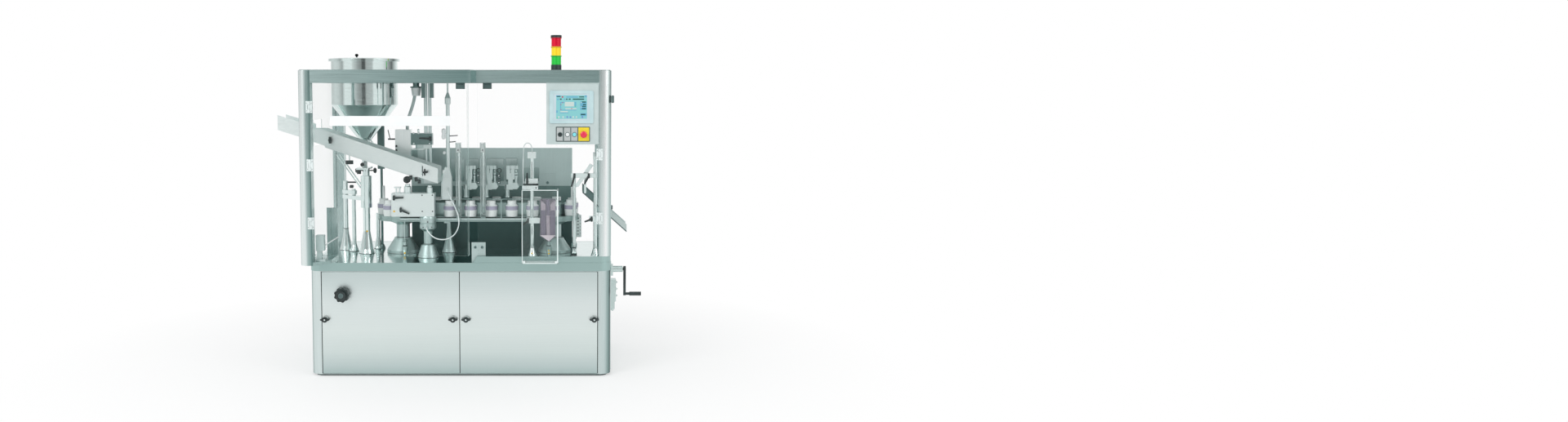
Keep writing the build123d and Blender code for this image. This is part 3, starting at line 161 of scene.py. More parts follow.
def polished(name, colour, roughness):
    """Make mirror-polished steel with faint wipe marks."""
    material, tree, shader = new_material(name, colour, 1, roughness)
    marks = grain(tree, (14, 14, 90))
    tree.links.new(ranged(tree, marks, roughness * 0.6, roughness * 1.7), shader.inputs["Roughness"])
    darker = tuple(0.93 * part for part in colour)
    tree.links.new(two_tone(tree, ranged(tree, marks, 0, 1), darker, colour), shader.inputs["Base Color"])
    bumped(tree, shader, marks, 0.08, 0.0002, 0.001)
    return material


def clear_sheet(name, colour, across, faces=(0.02, 0.16), edges=(0.45, 0.8), rim=None):
    """Make a clear sheet that shows little on its broad faces and more on its cut edges."""
    material, tree, shader = new_material(name, colour, 0, 0.04)
    facing = add(tree, "ShaderNodeLayerWeight", Blend=0.3)
    place = add(tree, "ShaderNodeTexCoord")
    split = add(tree, "ShaderNodeSeparateXYZ")
    tree.links.new(place.outputs["Normal"], split.inputs["Vector"])
    largest = None
    for axis in across:
        size = tree.nodes.new("ShaderNodeMath")
        size.operation = "ABSOLUTE"
        tree.links.new(split.outputs[axis], size.inputs[0])
        if largest is None:
            largest = size
            continue
        both = tree.nodes.new("ShaderNodeMath")
        both.operation = "MAXIMUM"
        tree.links.new(largest.outputs[0], both.inputs[0])
        tree.links.new(size.outputs[0], both.inputs[1])
        largest = both
    broad = add(tree, "ShaderNodeMapRange", From_Min=0.4, From_Max=0.7, To_Min=0, To_Max=1)
    tree.links.new(largest.outputs[0], broad.inputs["Value"])
    limits = []
    for low, high in (edges, faces):
        alpha = add(tree, "ShaderNodeMapRange", From_Min=0.1, From_Max=0.95, To_Min=low, To_Max=high)
        tree.links.new(facing.outputs["Facing"], alpha.inputs["Value"])
        limits.append(alpha.outputs["Result"])
    mix = tree.nodes.new("ShaderNodeMix")
    tree.links.new(broad.outputs["Result"], mix.inputs[0])
    tree.links.new(limits[0], mix.inputs[2])
    tree.links.new(limits[1], mix.inputs[3])
    tree.links.new(mix.outputs[0], shader.inputs["Alpha"])
    tone = two_tone(tree, broad.outputs["Result"], rim or colour, colour)
    tree.links.new(tone, shader.inputs["Base Color"])
    smear = grain(tree, (3, 3, 5), detail=4)
    tree.links.new(ranged(tree, smear, 0.02, 0.09), shader.inputs["Roughness"])
    return material


def plastic(name, dark, light, roughness, scale=900, strength=0.2):
    """Make moulded plastic with a fine texture and a slight change of tone."""
    material, tree, shader = new_material(name, light, 0, roughness)
    fine = grain(tree, (scale, scale, scale), detail=2)
    clouds = grain(tree, (9, 9, 9), detail=2)
    tree.links.new(two_tone(tree, ranged(tree, clouds, 0, 1), dark, light), shader.inputs["Base Color"])
    tree.links.new(ranged(tree, fine, roughness - 0.06, roughness + 0.08), shader.inputs["Roughness"])
    bumped(tree, shader, fine, strength, 0.0002, 0.0008)
    return material


def object_height(tree, axis="Z"):
    """Give the place along one axis in the row frame, in metres."""
    place = add(tree, "ShaderNodeTexCoord")
    split = add(tree, "ShaderNodeSeparateXYZ")
    tree.links.new(place.outputs["Object"], split.inputs["Vector"])
    return split.outputs[axis]


def stepped(tree, value, stops, change="CONSTANT"):
    """Give the colour of the last stop that a value has passed; stops are (limit, colour)."""
    low = stops[0][0]
    high = stops[-1][0] + 0.001
    spread = add(tree, "ShaderNodeMapRange", From_Min=low, From_Max=high, To_Min=0, To_Max=1)
    ramp = tree.nodes.new("ShaderNodeValToRGB")
    ramp.color_ramp.interpolation = change
    elements = ramp.color_ramp.elements
    while len(elements) < len(stops):
        elements.new(0.5)
    for element, (limit, colour) in zip(elements, stops):
        element.position = (limit - low) / (high - low)
        element.color = (*colour, 1)
    tree.links.new(value, spread.inputs["Value"])
    tree.links.new(spread.outputs["Result"], ramp.inputs["Fac"])
    return ramp.outputs["Color"]


def facing_axis(tree, axis, low=0.6, high=0.95):
    """Give 1 on faces that look along an axis of the row frame, and 0 on the others."""
    geometry = add(tree, "ShaderNodeNewGeometry")
    split = add(tree, "ShaderNodeSeparateXYZ")
    tree.links.new(geometry.outputs["Normal"], split.inputs["Vector"])
    along = add(tree, "ShaderNodeMapRange", From_Min=low, From_Max=high, To_Min=0, To_Max=1)
    tree.links.new(split.outputs[axis], along.inputs["Value"])
    return along.outputs["Result"]


def carrier_plastic():
    """Make the carriers' white plastic with a grey band round the middle."""
    material, tree, shader = new_material("carrier_plastic", tone(240, 245, 244), 0, 0.3)
    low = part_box("carriers")[0].z
    white = tone(240, 245, 244)
    colour = stepped(tree, object_height(tree), [
        (low, white), (low + 0.043, tone(172, 170, 190)), (low + 0.070, white), (low + 0.3, white)])
    tree.links.new(colour, shader.inputs["Base Color"])
    bumped(tree, shader, grain(tree, (500, 500, 500)), 0.15, 0.0002, 0.0015)
    return material


def worktop_steel():
    """Make the worktop's steel: finely ground on its top and brushed on its edges, whose colour is painted
    darker than the top as painted shade.
    """
    material, tree, shader = new_material("worktop_steel", tone(200, 218, 216), 1, 0.2)
    upward = facing_axis(tree, "Z")
    lines = grain(tree, (4, 250, 700))
    rough = ranged(tree, lines, 0.30, 0.42)
    ground = ranged(tree, grain(tree, (12, 12, 12)), 0.10, 0.17)
    mix = add(tree, "ShaderNodeMix")
    tree.links.new(upward, mix.inputs["Factor"])
    tree.links.new(rough, mix.inputs["A"])
    tree.links.new(ground, mix.inputs["B"])
    tree.links.new(mix.outputs["Result"], shader.inputs["Roughness"])
    # The side faces get a darker colour than the top: painted shade.
    tree.links.new(two_tone(tree, upward, tone(164, 190, 187), tone(214, 230, 228)),
                   shader.inputs["Base Color"])
    bumped(tree, shader, lines, 0.06, 0.0002, 0.002)
    return material


def by_height(name, metallic, roughness, stops, stretch=(300, 300, 300), strength=0.2, axis="Z",
              change="CONSTANT", edge=0.001, side=None, wear=(0.90, 1.05)):
    """Make a surface whose colour changes along an axis; stops are (limit, colour).

    With side given, the flat faces to the left and right have that colour. Wear is the
    darkest and the lightest share of the colour that the grain gives.
    """
    material, tree, shader = new_material(name, stops[0][1], metallic, roughness)
    fine = grain(tree, stretch)
    steps = stepped(tree, object_height(tree, axis), stops, change)
    if side:
        sideways = tree.nodes.new("ShaderNodeMath")
        sideways.operation = "MAXIMUM"
        tree.links.new(facing_axis(tree, "X", 0.93, 0.99), sideways.inputs[0])
        tree.links.new(facing_axis(tree, "X", -0.93, -0.99), sideways.inputs[1])
        plain = tree.nodes.new("ShaderNodeMix")
        plain.data_type = "RGBA"
        tree.links.new(sideways.outputs[0], plain.inputs[0])
        tree.links.new(steps, plain.inputs[6])
        plain.inputs[7].default_value = (*side, 1)
        steps = plain.outputs[2]
    worn = tree.nodes.new("ShaderNodeMix")
    worn.data_type = "RGBA"
    worn.blend_type = "MULTIPLY"
    worn.inputs[0].default_value = 1
    level = add(tree, "ShaderNodeCombineColor")
    share = ranged(tree, fine, *wear)
    for channel in ("Red", "Green", "Blue"):
        tree.links.new(share, level.inputs[channel])
    tree.links.new(steps, worn.inputs[6])
    tree.links.new(level.outputs[0], worn.inputs[7])
    tree.links.new(worn.outputs[2], shader.inputs["Base Color"])
    tree.links.new(ranged(tree, fine, roughness - 0.06, roughness + 0.08), shader.inputs["Roughness"])
    bumped(tree, shader, fine, strength, 0.0002, edge)
    return material


def height_of(node, share=0.0, above=0.0):
    """Give the height at a share of a node's own height, plus a length above it."""
    low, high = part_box(node)
    return low.z + share * (high.z - low.z) + above


def lit_plastic(name, colour, glow):
    """Make the clear coloured plastic of a signal lamp, ribbed inside."""
    material, tree, shader = new_material(name, colour, 0, 0.18)
    ribs = grain(tree, (160, 160, 2))
    dark = tuple(0.62 * part for part in colour)
    inner = two_tone(tree, ranged(tree, ribs, 0, 1), dark, colour)
    tree.links.new(inner, shader.inputs["Base Color"])
    tree.links.new(inner, shader.inputs["Emission Color"])
    shader.inputs["Emission Strength"].default_value = glow
    shader.inputs["Specular IOR Level"].default_value = 0.25
    bumped(tree, shader, ribs, 0.5, 0.0008)
    return material


def screen_glow(name, colour, glow):
    """Make one lit colour of the operator screen, with a fine dot pattern."""
    material, tree, shader = new_material(name, colour, 0, 0.3)
    dots = grain(tree, (1400, 1400, 1400), detail=1)
    dark = tuple(0.85 * part for part in colour)
    lit = two_tone(tree, ranged(tree, dots, 0, 1), dark, colour)
    black = tuple(0.5 * part for part in colour)
    shader.inputs["Base Color"].default_value = (*black, 1)
    tree.links.new(lit, shader.inputs["Emission Color"])
    shader.inputs["Emission Strength"].default_value = glow
    shader.inputs["Specular IOR Level"].default_value = 0.2
    return material


FINE_UPRIGHT = (500, 500, 4)
FINE_ALONG = (4, 300, 600)
FINE_ACROSS = (300, 4, 600)
FINE_ROUND = (3, 3, 900)
FINE_ALL = (240, 240, 240)
# Cabinet front panels: the colour rises from the bottom and falls again toward the top. This is a painted
# reflection of the studio, with painted shade near the floor.
m_panel_painted_reflection = by_height("panel_steel", 1, 0.36, [
    (0.020, tone(182, 201, 199)), (0.070, tone(200, 214, 213)), (0.160, tone(218, 229, 227)),
    (0.300, tone(228, 237, 235)), (0.480, tone(226, 235, 234)), (0.600, tone(212, 224, 223)),
    (0.682, tone(204, 217, 216))], (3, 300, 420), 0.1, "Z", "LINEAR", 0.002, None, (0.975, 1.015))
# Cabinet shell: the dark outer edges and lighter insides of its rounded corners are painted shade and painted
# highlight.
m_shell_painted_shading = by_height("shell_steel_painted_shading", 1, 0.32, [
    (-0.970, tone(70, 96, 94)), (-0.962, tone(150, 172, 170)), (-0.952, tone(212, 224, 223)),
    (-0.900, tone(216, 227, 226)), (0.900, tone(206, 219, 218)), (0.930, tone(196, 211, 210)),
    (0.952, tone(140, 164, 162)), (0.964, tone(76, 102, 100)), (0.970, tone(66, 92, 90))],
    FINE_UPRIGHT, 0.2, "X", "LINEAR", 0.002, tone(208, 221, 220))
# Left post: the light and dark bands across it are painted highlight and painted shade on its rounded faces.
m_left_post_painted_shading = by_height("left_post_steel_painted_shading", 1, 0.28, [
    (-1.000, tone(96, 124, 122)), (-0.993, tone(206, 219, 218)), (-0.985, tone(236, 243, 242)),
    (-0.962, tone(224, 234, 233)), (-0.948, tone(170, 192, 190)), (-0.932, tone(140, 166, 163)),
    (-0.921, tone(96, 126, 124)), (-0.918, tone(176, 198, 196)), (-0.825, tone(190, 208, 206))],
    FINE_UPRIGHT, 0.2, "X", "LINEAR", 0.002, tone(190, 208, 206))
# Right post: the bright middle band and darker edges are a painted highlight and painted shade.
m_right_post_painted_shading = by_height("right_post_steel_painted_shading", 1, 0.28, [
    (0.890, tone(176, 196, 194)), (0.902, tone(208, 221, 220)), (0.918, tone(226, 236, 235)),
    (0.934, tone(250, 252, 252)), (0.946, tone(224, 234, 233)), (0.962, tone(178, 198, 196)),
    (0.970, tone(150, 174, 172))], FINE_UPRIGHT, 0.2, "X", "LINEAR", 0.002, tone(190, 208, 206))
m_rear_post = brushed("post_steel", tone(170, 192, 190), tone(200, 216, 215), 0.26, FINE_UPRIGHT, 0.002)
# Front beams: the lighter and darker stretches along X are painted reflection.
m_beam_painted_reflection = by_height("beam_steel", 1, 0.30, [
    (-0.92, tone(178, 200, 198)), (0.06, tone(134, 163, 161)), (0.12, tone(168, 191, 189)),
    (0.90, tone(152, 178, 176))], FINE_ALONG, 0.2, "X", "LINEAR", 0.002)
m_side_beam = brushed("side_beam_steel", tone(150, 176, 173), tone(170, 194, 191), 0.30, FINE_ACROSS, 0.002)
m_roof = brushed("roof_steel", tone(160, 179, 177), tone(184, 200, 198), 0.28, FINE_ALONG, 0.001)
# Bulkhead: darker in steps below the rail and down to the worktop, as painted shade under the track.
m_bulkhead_painted_shade = by_height("bulkhead_steel_painted_shade", 1, 0.42, [
    (height_of("worktop"), tone(70, 98, 96)), (height_of("track_rail"), tone(120, 148, 145)),
    (height_of("bulkhead", 0.62), tone(192, 212, 210)), (height_of("bulkhead", 1.0), tone(192, 212, 210))],
    FINE_UPRIGHT)
m_machined = brushed("machined_steel", tone(186, 205, 203), tone(214, 228, 226), 0.34, FINE_ALL, 0.0012)
m_rail = brushed("rail_steel", tone(138, 162, 159), tone(170, 192, 189), 0.32, FINE_ALL, 0.001)
m_light = brushed("light_steel", tone(212, 226, 224), tone(232, 241, 240), 0.42, FINE_ALL, 0.0015)
m_mast = by_height("mast_steel", 1, 0.34, [
    (-0.480, tone(238, 246, 245)), (-0.3715, tone(150, 176, 173)), (-0.330, tone(190, 209, 207)),
    (-0.286, tone(214, 227, 226)), (-0.200, tone(214, 227, 226))], FINE_UPRIGHT, 0.2, "X")
m_chute = brushed("chute_steel", tone(216, 229, 227), tone(236, 244, 243), 0.38, (40, 300, 300), 0.001)
# Discharge chute: darker where it lies inside the guard, as painted shade.
m_exit_painted_shade = by_height("exit_steel_painted_shade", 1, 0.40, [
    (0.790, tone(112, 136, 134)), (0.886, tone(206, 220, 218)), (1.083, tone(206, 220, 218))],
    (160, 160, 160), 0.3, "X")
m_turned = brushed("turned_steel", tone(172, 194, 192), tone(204, 220, 218), 0.40, FINE_ROUND, 0.0012)
m_rod = brushed("rod_steel", tone(206, 222, 220), tone(232, 242, 241), 0.16, FINE_ROUND, 0.001)
m_mirror = polished("mirror_steel", tone(220, 234, 232), 0.05)
m_worktop = worktop_steel()
m_plinth = plastic("plinth_paint", tone(52, 74, 73), tone(78, 100, 99), 0.5)
m_painted = plastic("painted_panel", tone(186, 200, 199), tone(196, 209, 208), 0.42)
m_bezel = plastic("bezel_plastic", tone(180, 206, 210), tone(196, 220, 223), 0.32)
m_black = plastic("black_plastic", tone(24, 34, 34), tone(48, 62, 62), 0.34)
m_dark = plastic("dark_metal", tone(70, 90, 90), tone(104, 124, 123), 0.4)
m_white = plastic("white_metal", tone(214, 224, 223), tone(232, 240, 240), 0.35)
m_hose = plastic("white_hose", tone(214, 226, 226), tone(236, 243, 243), 0.28, 300, 0.1)
m_conduit = plastic("grey_conduit", tone(170, 190, 189), tone(196, 212, 211), 0.4, 300, 0.1)
m_carrier = carrier_plastic()
m_switch = by_height("switch_metal", 0.6, 0.4, [
    (height_of("door_switches"), tone(190, 208, 206)), (height_of("door_switches", 0.2), tone(80, 102, 101)),
    (height_of("door_switches", 1.0), tone(80, 102, 101))], FINE_ALL)
m_lid = by_height("lid_steel", 1, 0.12, [
    (height_of("hopper_lid"), tone(216, 230, 228)), (height_of("hopper_lid", 0, 0.0125), tone(28, 34, 34)),
    (height_of("hopper_lid", 1.0), tone(28, 34, 34))], (14, 14, 90), 0.08)
m_clear_front = clear_sheet("clear_sheet_front", tone(222, 238, 236), "Y", (0.01, 0.09), (0.45, 0.8),
                            tone(190, 214, 210))
m_clear_side = clear_sheet("clear_sheet_side", tone(214, 236, 232), "X", rim=tone(190, 214, 210))
m_pocket = clear_sheet("pocket_sheet", tone(214, 234, 231), "XY", (0.03, 0.30), (0.6, 0.9), tone(240, 247, 246))
m_rim = plastic("rim_plastic", tone(214, 228, 226), tone(236, 244, 243), 0.2)
m_smoked = clear_sheet("smoked_sheet", tone(168, 158, 176), "XY", (0.16, 0.34), (0.5, 0.8), tone(220, 220, 226))
m_tube = clear_sheet("tube_glass", tone(205, 220, 218), "XY", (0.14, 0.92), (0.5, 0.9), tone(230, 240, 239))

NODE_MATERIALS = {
    m_panel_painted_reflection: ["cabinet_panel_left", "cabinet_panel_right", "cabinet_cover_panels"],
    m_shell_painted_shading: ["cabinet_shell"],
    m_left_post_painted_shading: ["left_post"],
    m_right_post_painted_shading: ["right_post"],
    m_rear_post: ["rear_posts"],
    m_beam_painted_reflection: ["top_beam_left", "top_beam_right", "top_beam_rear"],
    m_side_beam: ["top_beams_side"],
    m_roof: ["roof_plate"],
    m_bulkhead_painted_shade: ["bulkhead"],
    m_machined: ["station_heads", "pneumatic_unit", "crank_bracket"],
    m_rail: ["track_rail"],
    m_light: ["drive_box", "filling_nozzle"],
    m_mast: ["loader_mast"],
    m_chute: ["infeed_chute"],
    m_exit_painted_shade: ["discharge_chute"],
    m_turned: ["track_supports", "rotary_unit"],
    m_rod: ["chute_columns", "ruler_column", "side_columns"],
    m_mirror: ["hopper_body", "hopper_cone"],
    m_lid: ["hopper_lid"],
    m_worktop: ["worktop"],
    m_plinth: ["plinth"],
    m_painted: ["operator_housing"],
    m_bezel: ["operator_screen"],
    m_black: ["crank", "handwheel", "wing_latch_1", "wing_latch_2", "wing_latch_3", "wing_latch_4",
              "clamp_levers", "lamp_frame"],
    m_switch: ["door_switches"],
    m_white: ["hinge_leaves", "left_door_hinges", "right_door_hinges"],
    m_carrier: ["carriers"],
    m_clear_front: ["rear_guard", "left_door", "right_door"],
    m_clear_side: ["left_guard", "right_guard"],
    m_pocket: ["reject_pocket"],
    m_smoked: ["reject_trough"],
    m_tube: ["sight_tubes"],
}


def paint(node, material):
    """Give a node its material in every slot that it has."""
    data = nodes[node].data
    if not data.materials:
        data.materials.append(material)
    for i in range(len(data.materials)):
        data.materials[i] = material


for material, names in NODE_MATERIALS.items():
    for name in names:
        paint(name, material)


# Shapes: every added piece is one mesh, filled by these functions

class Shape:
    """A mesh that is filled with turned forms and rounded blocks."""

    def __init__(self):
        self.mesh = bmesh.new()

    def turned(self, place, axis, outline, segments=24):
        """Add a turned form on an axis through place; outline is (radius, distance along it)."""
        turn = Vector(axis).normalized().to_track_quat("Z", "Y").to_matrix().to_4x4()
        turn.translation = Vector(place)
        rings = []
        for radius, along in outline:
            if radius == 0:
                rings.append([self.mesh.verts.new(turn @ Vector((0, 0, along)))])
                continue
            rings.append([self.mesh.verts.new(turn @ Vector((radius * cos(tau * i / segments),
                                                             radius * sin(tau * i / segments), along)))
                          for i in range(segments)])
        for lower, upper in zip(rings, rings[1:]):
            for i in range(segments):
                j = (i + 1) % segments
                corners = [lower[i % len(lower)], lower[j % len(lower)],
                           upper[j % len(upper)], upper[i % len(upper)]]
                corners = list(dict.fromkeys(corners))
                if len(corners) > 2:
                    self.mesh.faces.new(corners)

    def block(self, low, high, rounding=0.0):
        """Add a block between two corners, with rounded edges."""
        centre = (Vector(low) + Vector(high)) / 2
        size = Vector(high) - Vector(low)
        scale = Matrix.Translation(centre) @ Matrix.Diagonal((*size, 1))
        made = bmesh.ops.create_cube(self.mesh, size=1, matrix=scale)
        if rounding:
            edges = list({edge for vert in made["verts"] for edge in vert.link_edges})
            bmesh.ops.bevel(self.mesh, geom=edges, offset=rounding, segments=2, affect="EDGES",
                            clamp_overlap=True)

    def bar(self, start, end, width, depth):
        """Add a straight bar between two points, with its width across and its depth along Y."""
        start, end = Vector(start), Vector(end)
        ahead = (end - start).normalized()
        across = Vector((0, 1, 0)).cross(ahead).normalized()
        back = ahead.cross(across)
        place = Matrix((across, back, ahead)).transposed().to_4x4()
        place.translation = (start + end) / 2
        scale = Matrix.Diagonal((width, depth, (end - start).length, 1))
        made = bmesh.ops.create_cube(self.mesh, size=1, matrix=place @ scale)
        edges = list({edge for vert in made["verts"] for edge in vert.link_edges})
        bmesh.ops.bevel(self.mesh, geom=edges, offset=min(width, depth) * 0.2, segments=1,
                        affect="EDGES", clamp_overlap=True)

    def rod(self, start, end, radius):
        """Add a round rod between two points, with rounded ends."""
        length = (Vector(end) - Vector(start)).length
        self.turned(start, Vector(end) - Vector(start),
                    [(0, 0), (radius * 0.8, 0), (radius, radius * 0.3), (radius, length - radius * 0.3),
                     (radius * 0.8, length), (0, length)], 16)

    def plate(self, points, front, back):
        """Add a flat plate with an outline of (x, z) points between two depths."""
        near = [self.mesh.verts.new((x, front, z)) for x, z in points]
        far = [self.mesh.verts.new((x, back, z)) for x, z in points]
        self.mesh.faces.new(near)
        self.mesh.faces.new(list(reversed(far)))
        for i in range(len(points)):
            j = (i + 1) % len(points)
            self.mesh.faces.new([near[i], far[i], far[j], near[j]])

    def screw(self, place, axis, radius):
        """Add a domed screw with a hexagon socket, whose head stands on place along axis."""
        self.turned(place, axis, [(radius, 0), (radius, radius * 0.35), (radius * 0.8, radius * 0.6),
                                  (radius * 0.45, radius * 0.68)], 16)
        self.turned(place, axis, [(radius * 0.45, radius * 0.68), (radius * 0.45, radius * 0.3),
                                  (0, radius * 0.3)], 16)

    def piece(self, name, material, body="root"):
        """Turn the shape into an object that rides a body."""
        bmesh.ops.recalc_face_normals(self.mesh, faces=self.mesh.faces)
        data = bpy.data.meshes.new(name)
        self.mesh.to_mesh(data)
        self.mesh.free()
        data.materials.append(material)
        made = bpy.data.objects.new(name, data)
        bpy.context.scene.collection.objects.link(made)
        data.shade_smooth()
        with_sharp = made.modifiers.new("sharp edges", "EDGE_SPLIT")
        with_sharp.split_angle = radians(35)
        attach(made, body)
        return made


def corner(node, side):
    """Give the lowest corner of a node for side 0, and the highest one for side 1."""
    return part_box(node)[side]


FRONT = (0, -1, 0)
UP = (0, 0, 1)


# Signal lamp

def signal_lamp():
    """Dress the lamp with three ribbed modules and coloured rings."""
    low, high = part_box("lamp_modules")
    middle = (low + high) / 2
    pitch = 0.060
    module = 0.054
    radius = (high.x - low.x) / 2
    colours = (("green", (0.03, 0.60, 0.07), 0.3), ("amber", (0.93, 0.62, 0.03), 0.5),
               ("red", (0.70, 0.005, 0.035), 0.3))
    for i, (name, colour, glow) in enumerate(colours):
        floor = low.z + i * pitch
        shape = Shape()
        outline = [(radius * 0.5, 0), (radius * 0.96, 0)]
        steps = 9
        for step in range(steps):
            along = module * (step + 0.5) / steps
            outline.append((radius * (1.0 if step % 2 else 0.965), along))
        outline += [(radius * 0.96, module), (radius * 0.5, module)]
        shape.turned((middle.x, middle.y, floor), UP, outline, 48)
        shape.piece(f"lamp_{name}", lit_plastic(f"lamp_{name}", colour, glow))
        ring = Shape()
        ring.turned((middle.x, middle.y, floor + module - 0.001), UP,
                    [(radius, 0), (radius + 0.0036, 0.001), (radius + 0.0036, 0.007), (radius, 0.008)], 48)
        dark = tuple(0.5 * part for part in colour)
        ring.piece(f"lamp_ring_{name}", plastic(f"ring_{name}", dark, colour, 0.3))
    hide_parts("lamp_modules")


# Operator panel

def operator_panel():
    """Dress the screen with its picture."""
    low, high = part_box("operator_screen")
    middle = (low + high) / 2
    front = low.y
    glass_y = front + 0.001
    half_w = 0.0975
    half_h = 0.0745
    left = middle.x - half_w
    bottom = middle.z - half_h

    def patches(name, material, boxes, proud):
        """Add flat patches on the glass; boxes are (x, z, width, height) as shares of it."""
        shape = Shape()
        for x, z, width, height in boxes:
            shape.block((left + x * 2 * half_w, glass_y - proud, bottom + z * 2 * half_h),
                        (left + (x + width) * 2 * half_w, glass_y + 0.0006,
                         bottom + (z + height) * 2 * half_h))
        shape.piece(name, material)

    recess = Shape()
    recess.block((middle.x - 0.1145, front + 0.0015, middle.z - 0.086),
                 (middle.x + 0.1145, front + 0.0024, middle.z + 0.086))
    recess.piece("screen_surround", plastic("surround", (0.50, 0.62, 0.66), (0.58, 0.70, 0.74), 0.3))
    patches("screen_ground", screen_glow("screen_cyan", (0.34, 0.80, 0.83), 0.25), [(0, 0, 1, 1)], 0.0002)
    blue = [(0.0, 0.93, 0.14, 0.07), (0.33, 0.90, 0.38, 0.05), (0.93, 0.92, 0.07, 0.08),
            (0.03, 0.80, 0.06, 0.06), (0.25, 0.80, 0.05, 0.05), (0.13, 0.36, 0.03, 0.36),
            (0.16, 0.68, 0.12, 0.04), (0.60, 0.50, 0.05, 0.22), (0.16, 0.36, 0.50, 0.03),
            (0.0, 0.26, 0.05, 0.10), (0.12, 0.24, 0.28, 0.03), (0.78, 0.38, 0.20, 0.36),
            (0.79, 0.12, 0.20, 0.12)]
    patches("screen_fields", screen_glow("screen_blue", (0.22, 0.62, 0.86), 0.2), blue, 0.0004)
    pale = [(0.28, 0.53, 0.30, 0.19), (0.30, 0.40, 0.36, 0.05), (0.14, 0.28, 0.24, 0.05),
            (0.06, 0.04, 0.05, 0.07), (0.20, 0.04, 0.05, 0.07), (0.53, 0.04, 0.05, 0.07),
            (0.64, 0.04, 0.04, 0.07), (0.80, 0.67, 0.03, 0.04), (0.80, 0.48, 0.03, 0.04)]
    patches("screen_cells", screen_glow("screen_pale", (0.78, 0.92, 0.88), 0.25), pale, 0.0006)
    dark = [(0.75, 0.91, 0.16, 0.04), (0.12, 0.81, 0.06, 0.05), (0.32, 0.81, 0.05, 0.05),
            (0.41, 0.81, 0.06, 0.05), (0.54, 0.81, 0.37, 0.05), (0.84, 0.69, 0.13, 0.05),
            (0.87, 0.58, 0.10, 0.05), (0.84, 0.51, 0.13, 0.04), (0.84, 0.41, 0.13, 0.05),
            (0.80, 0.16, 0.15, 0.05), (0.02, 0.93, 0.12, 0.035)]
    patches("screen_bars", screen_glow("screen_dark", (0.04, 0.16, 0.13), 0.1), dark, 0.0008)
    marks = [(0.18, 0.90, 0.05, 0.06), (0.19, 0.67, 0.03, 0.03), (0.14, 0.59, 0.03, 0.03),
             (0.14, 0.38, 0.03, 0.03), (0.49, 0.42, 0.03, 0.04)]
    patches("screen_marks", screen_glow("screen_red", (0.75, 0.10, 0.20), 0.2), marks, 0.001)
    icons = [(0.34, 0.04, 0.04, 0.07), (0.44, 0.04, 0.045, 0.06), (0.83, 0.04, 0.045, 0.07)]
    patches("screen_icons", screen_glow("screen_violet", (0.25, 0.36, 0.85), 0.2), icons, 0.001)
    greens = [(0.61, 0.50, 0.03, 0.04), (0.02, 0.02, 0.03, 0.04)]
    patches("screen_lights", screen_glow("screen_green", (0.15, 0.85, 0.40), 0.3), greens, 0.001)


def control_strip():
    """Make the framed cells below the screen, with three buttons and the emergency stop."""
    low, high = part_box("control_buttons")
    strip_y = corner("operator_housing", 0).y
    face_y = strip_y - 0.003
    frame_shape = Shape()
    frame_shape.block((low.x, face_y, low.z), (high.x, strip_y, high.z), 0.0025)
    back = frame_shape.piece("button_frame", m_dark)
    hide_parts("control_buttons")
    width = high.x - low.x
    cells = ((0.020, 0.205), (0.235, 0.425), (0.445, 0.635))
    m_cell = brushed("cell_steel", (0.62, 0.67, 0.665), (0.74, 0.78, 0.775), 0.36, FINE_ALONG, 0.0005)
    plates = Shape()
    for start, end in cells:
        plates.block((low.x + start * width, face_y - 0.0012, low.z + 0.005),
                     (low.x + end * width, face_y, high.z - 0.005), 0.0008)
    plates.piece("button_cells", m_cell)
    yellow = Shape()
    yellow.block((low.x + 0.655 * width, face_y - 0.0015, low.z + 0.004),
                 (low.x + 0.98 * width, face_y, high.z - 0.004), 0.0012)
    yellow.piece("stop_cell", plastic("stop_yellow", (0.80, 0.62, 0.02), (0.90, 0.74, 0.04), 0.35))
    button_z = low.z + 0.0455
    caps = (("black", (0.02, 0.03, 0.03)), ("white", (0.85, 0.88, 0.88)), ("cyan", (0.25, 0.78, 0.85)))
    rings = Shape()
    for i, (name, colour) in enumerate(caps):
        x = low.x + (0.122, 0.340, 0.545)[i] * width
        rings.turned((x, face_y - 0.001, button_z), FRONT,
                     [(0.0155, 0), (0.0155, 0.003), (0.0135, 0.0045), (0.0118, 0.0045), (0.0118, 0.002)], 32)
        cap = Shape()
        cap.turned((x, face_y - 0.001, button_z), FRONT,
                   [(0.0116, 0), (0.0116, 0.0062), (0.0105, 0.0072), (0, 0.0078)], 32)
        darker = tuple(0.8 * part for part in colour)
        cap.piece(f"button_{name}", plastic(f"cap_{name}", darker, colour, 0.25))
    rings.piece("button_rings", m_dark)
    stop_x = low.x + 0.815 * width
    stop = Shape()
    stop.turned((stop_x, face_y - 0.0012, button_z), FRONT,
                [(0.012, 0), (0.012, 0.012), (0.0195, 0.014), (0.0215, 0.018), (0.0205, 0.0235),
                 (0.015, 0.027), (0, 0.0285)], 40)
    stop.piece("stop_button", plastic("stop_red", (0.70, 0.02, 0.06), (0.84, 0.04, 0.10), 0.22))


# Doors

def door_strip():
    """Add the bare white strip on the left door."""
    door_y = corner("left_door", 0).y
    shape = Shape()
    shape.block((-0.798, door_y - 0.0006, 1.626), (-0.045, door_y, 1.688))
    shape.piece("bare_strip", plastic("white_film", (0.86, 0.88, 0.88), (0.92, 0.94, 0.94), 0.3),
                "guard_door_left")


# Screws

def screw_group(name, places, radius, material, body="root", axis=FRONT):
    """Add a group of equal screws on one body."""
    shape = Shape()
    for place in places:
        shape.screw(place, axis, radius)
    return shape.piece(name, material, body)


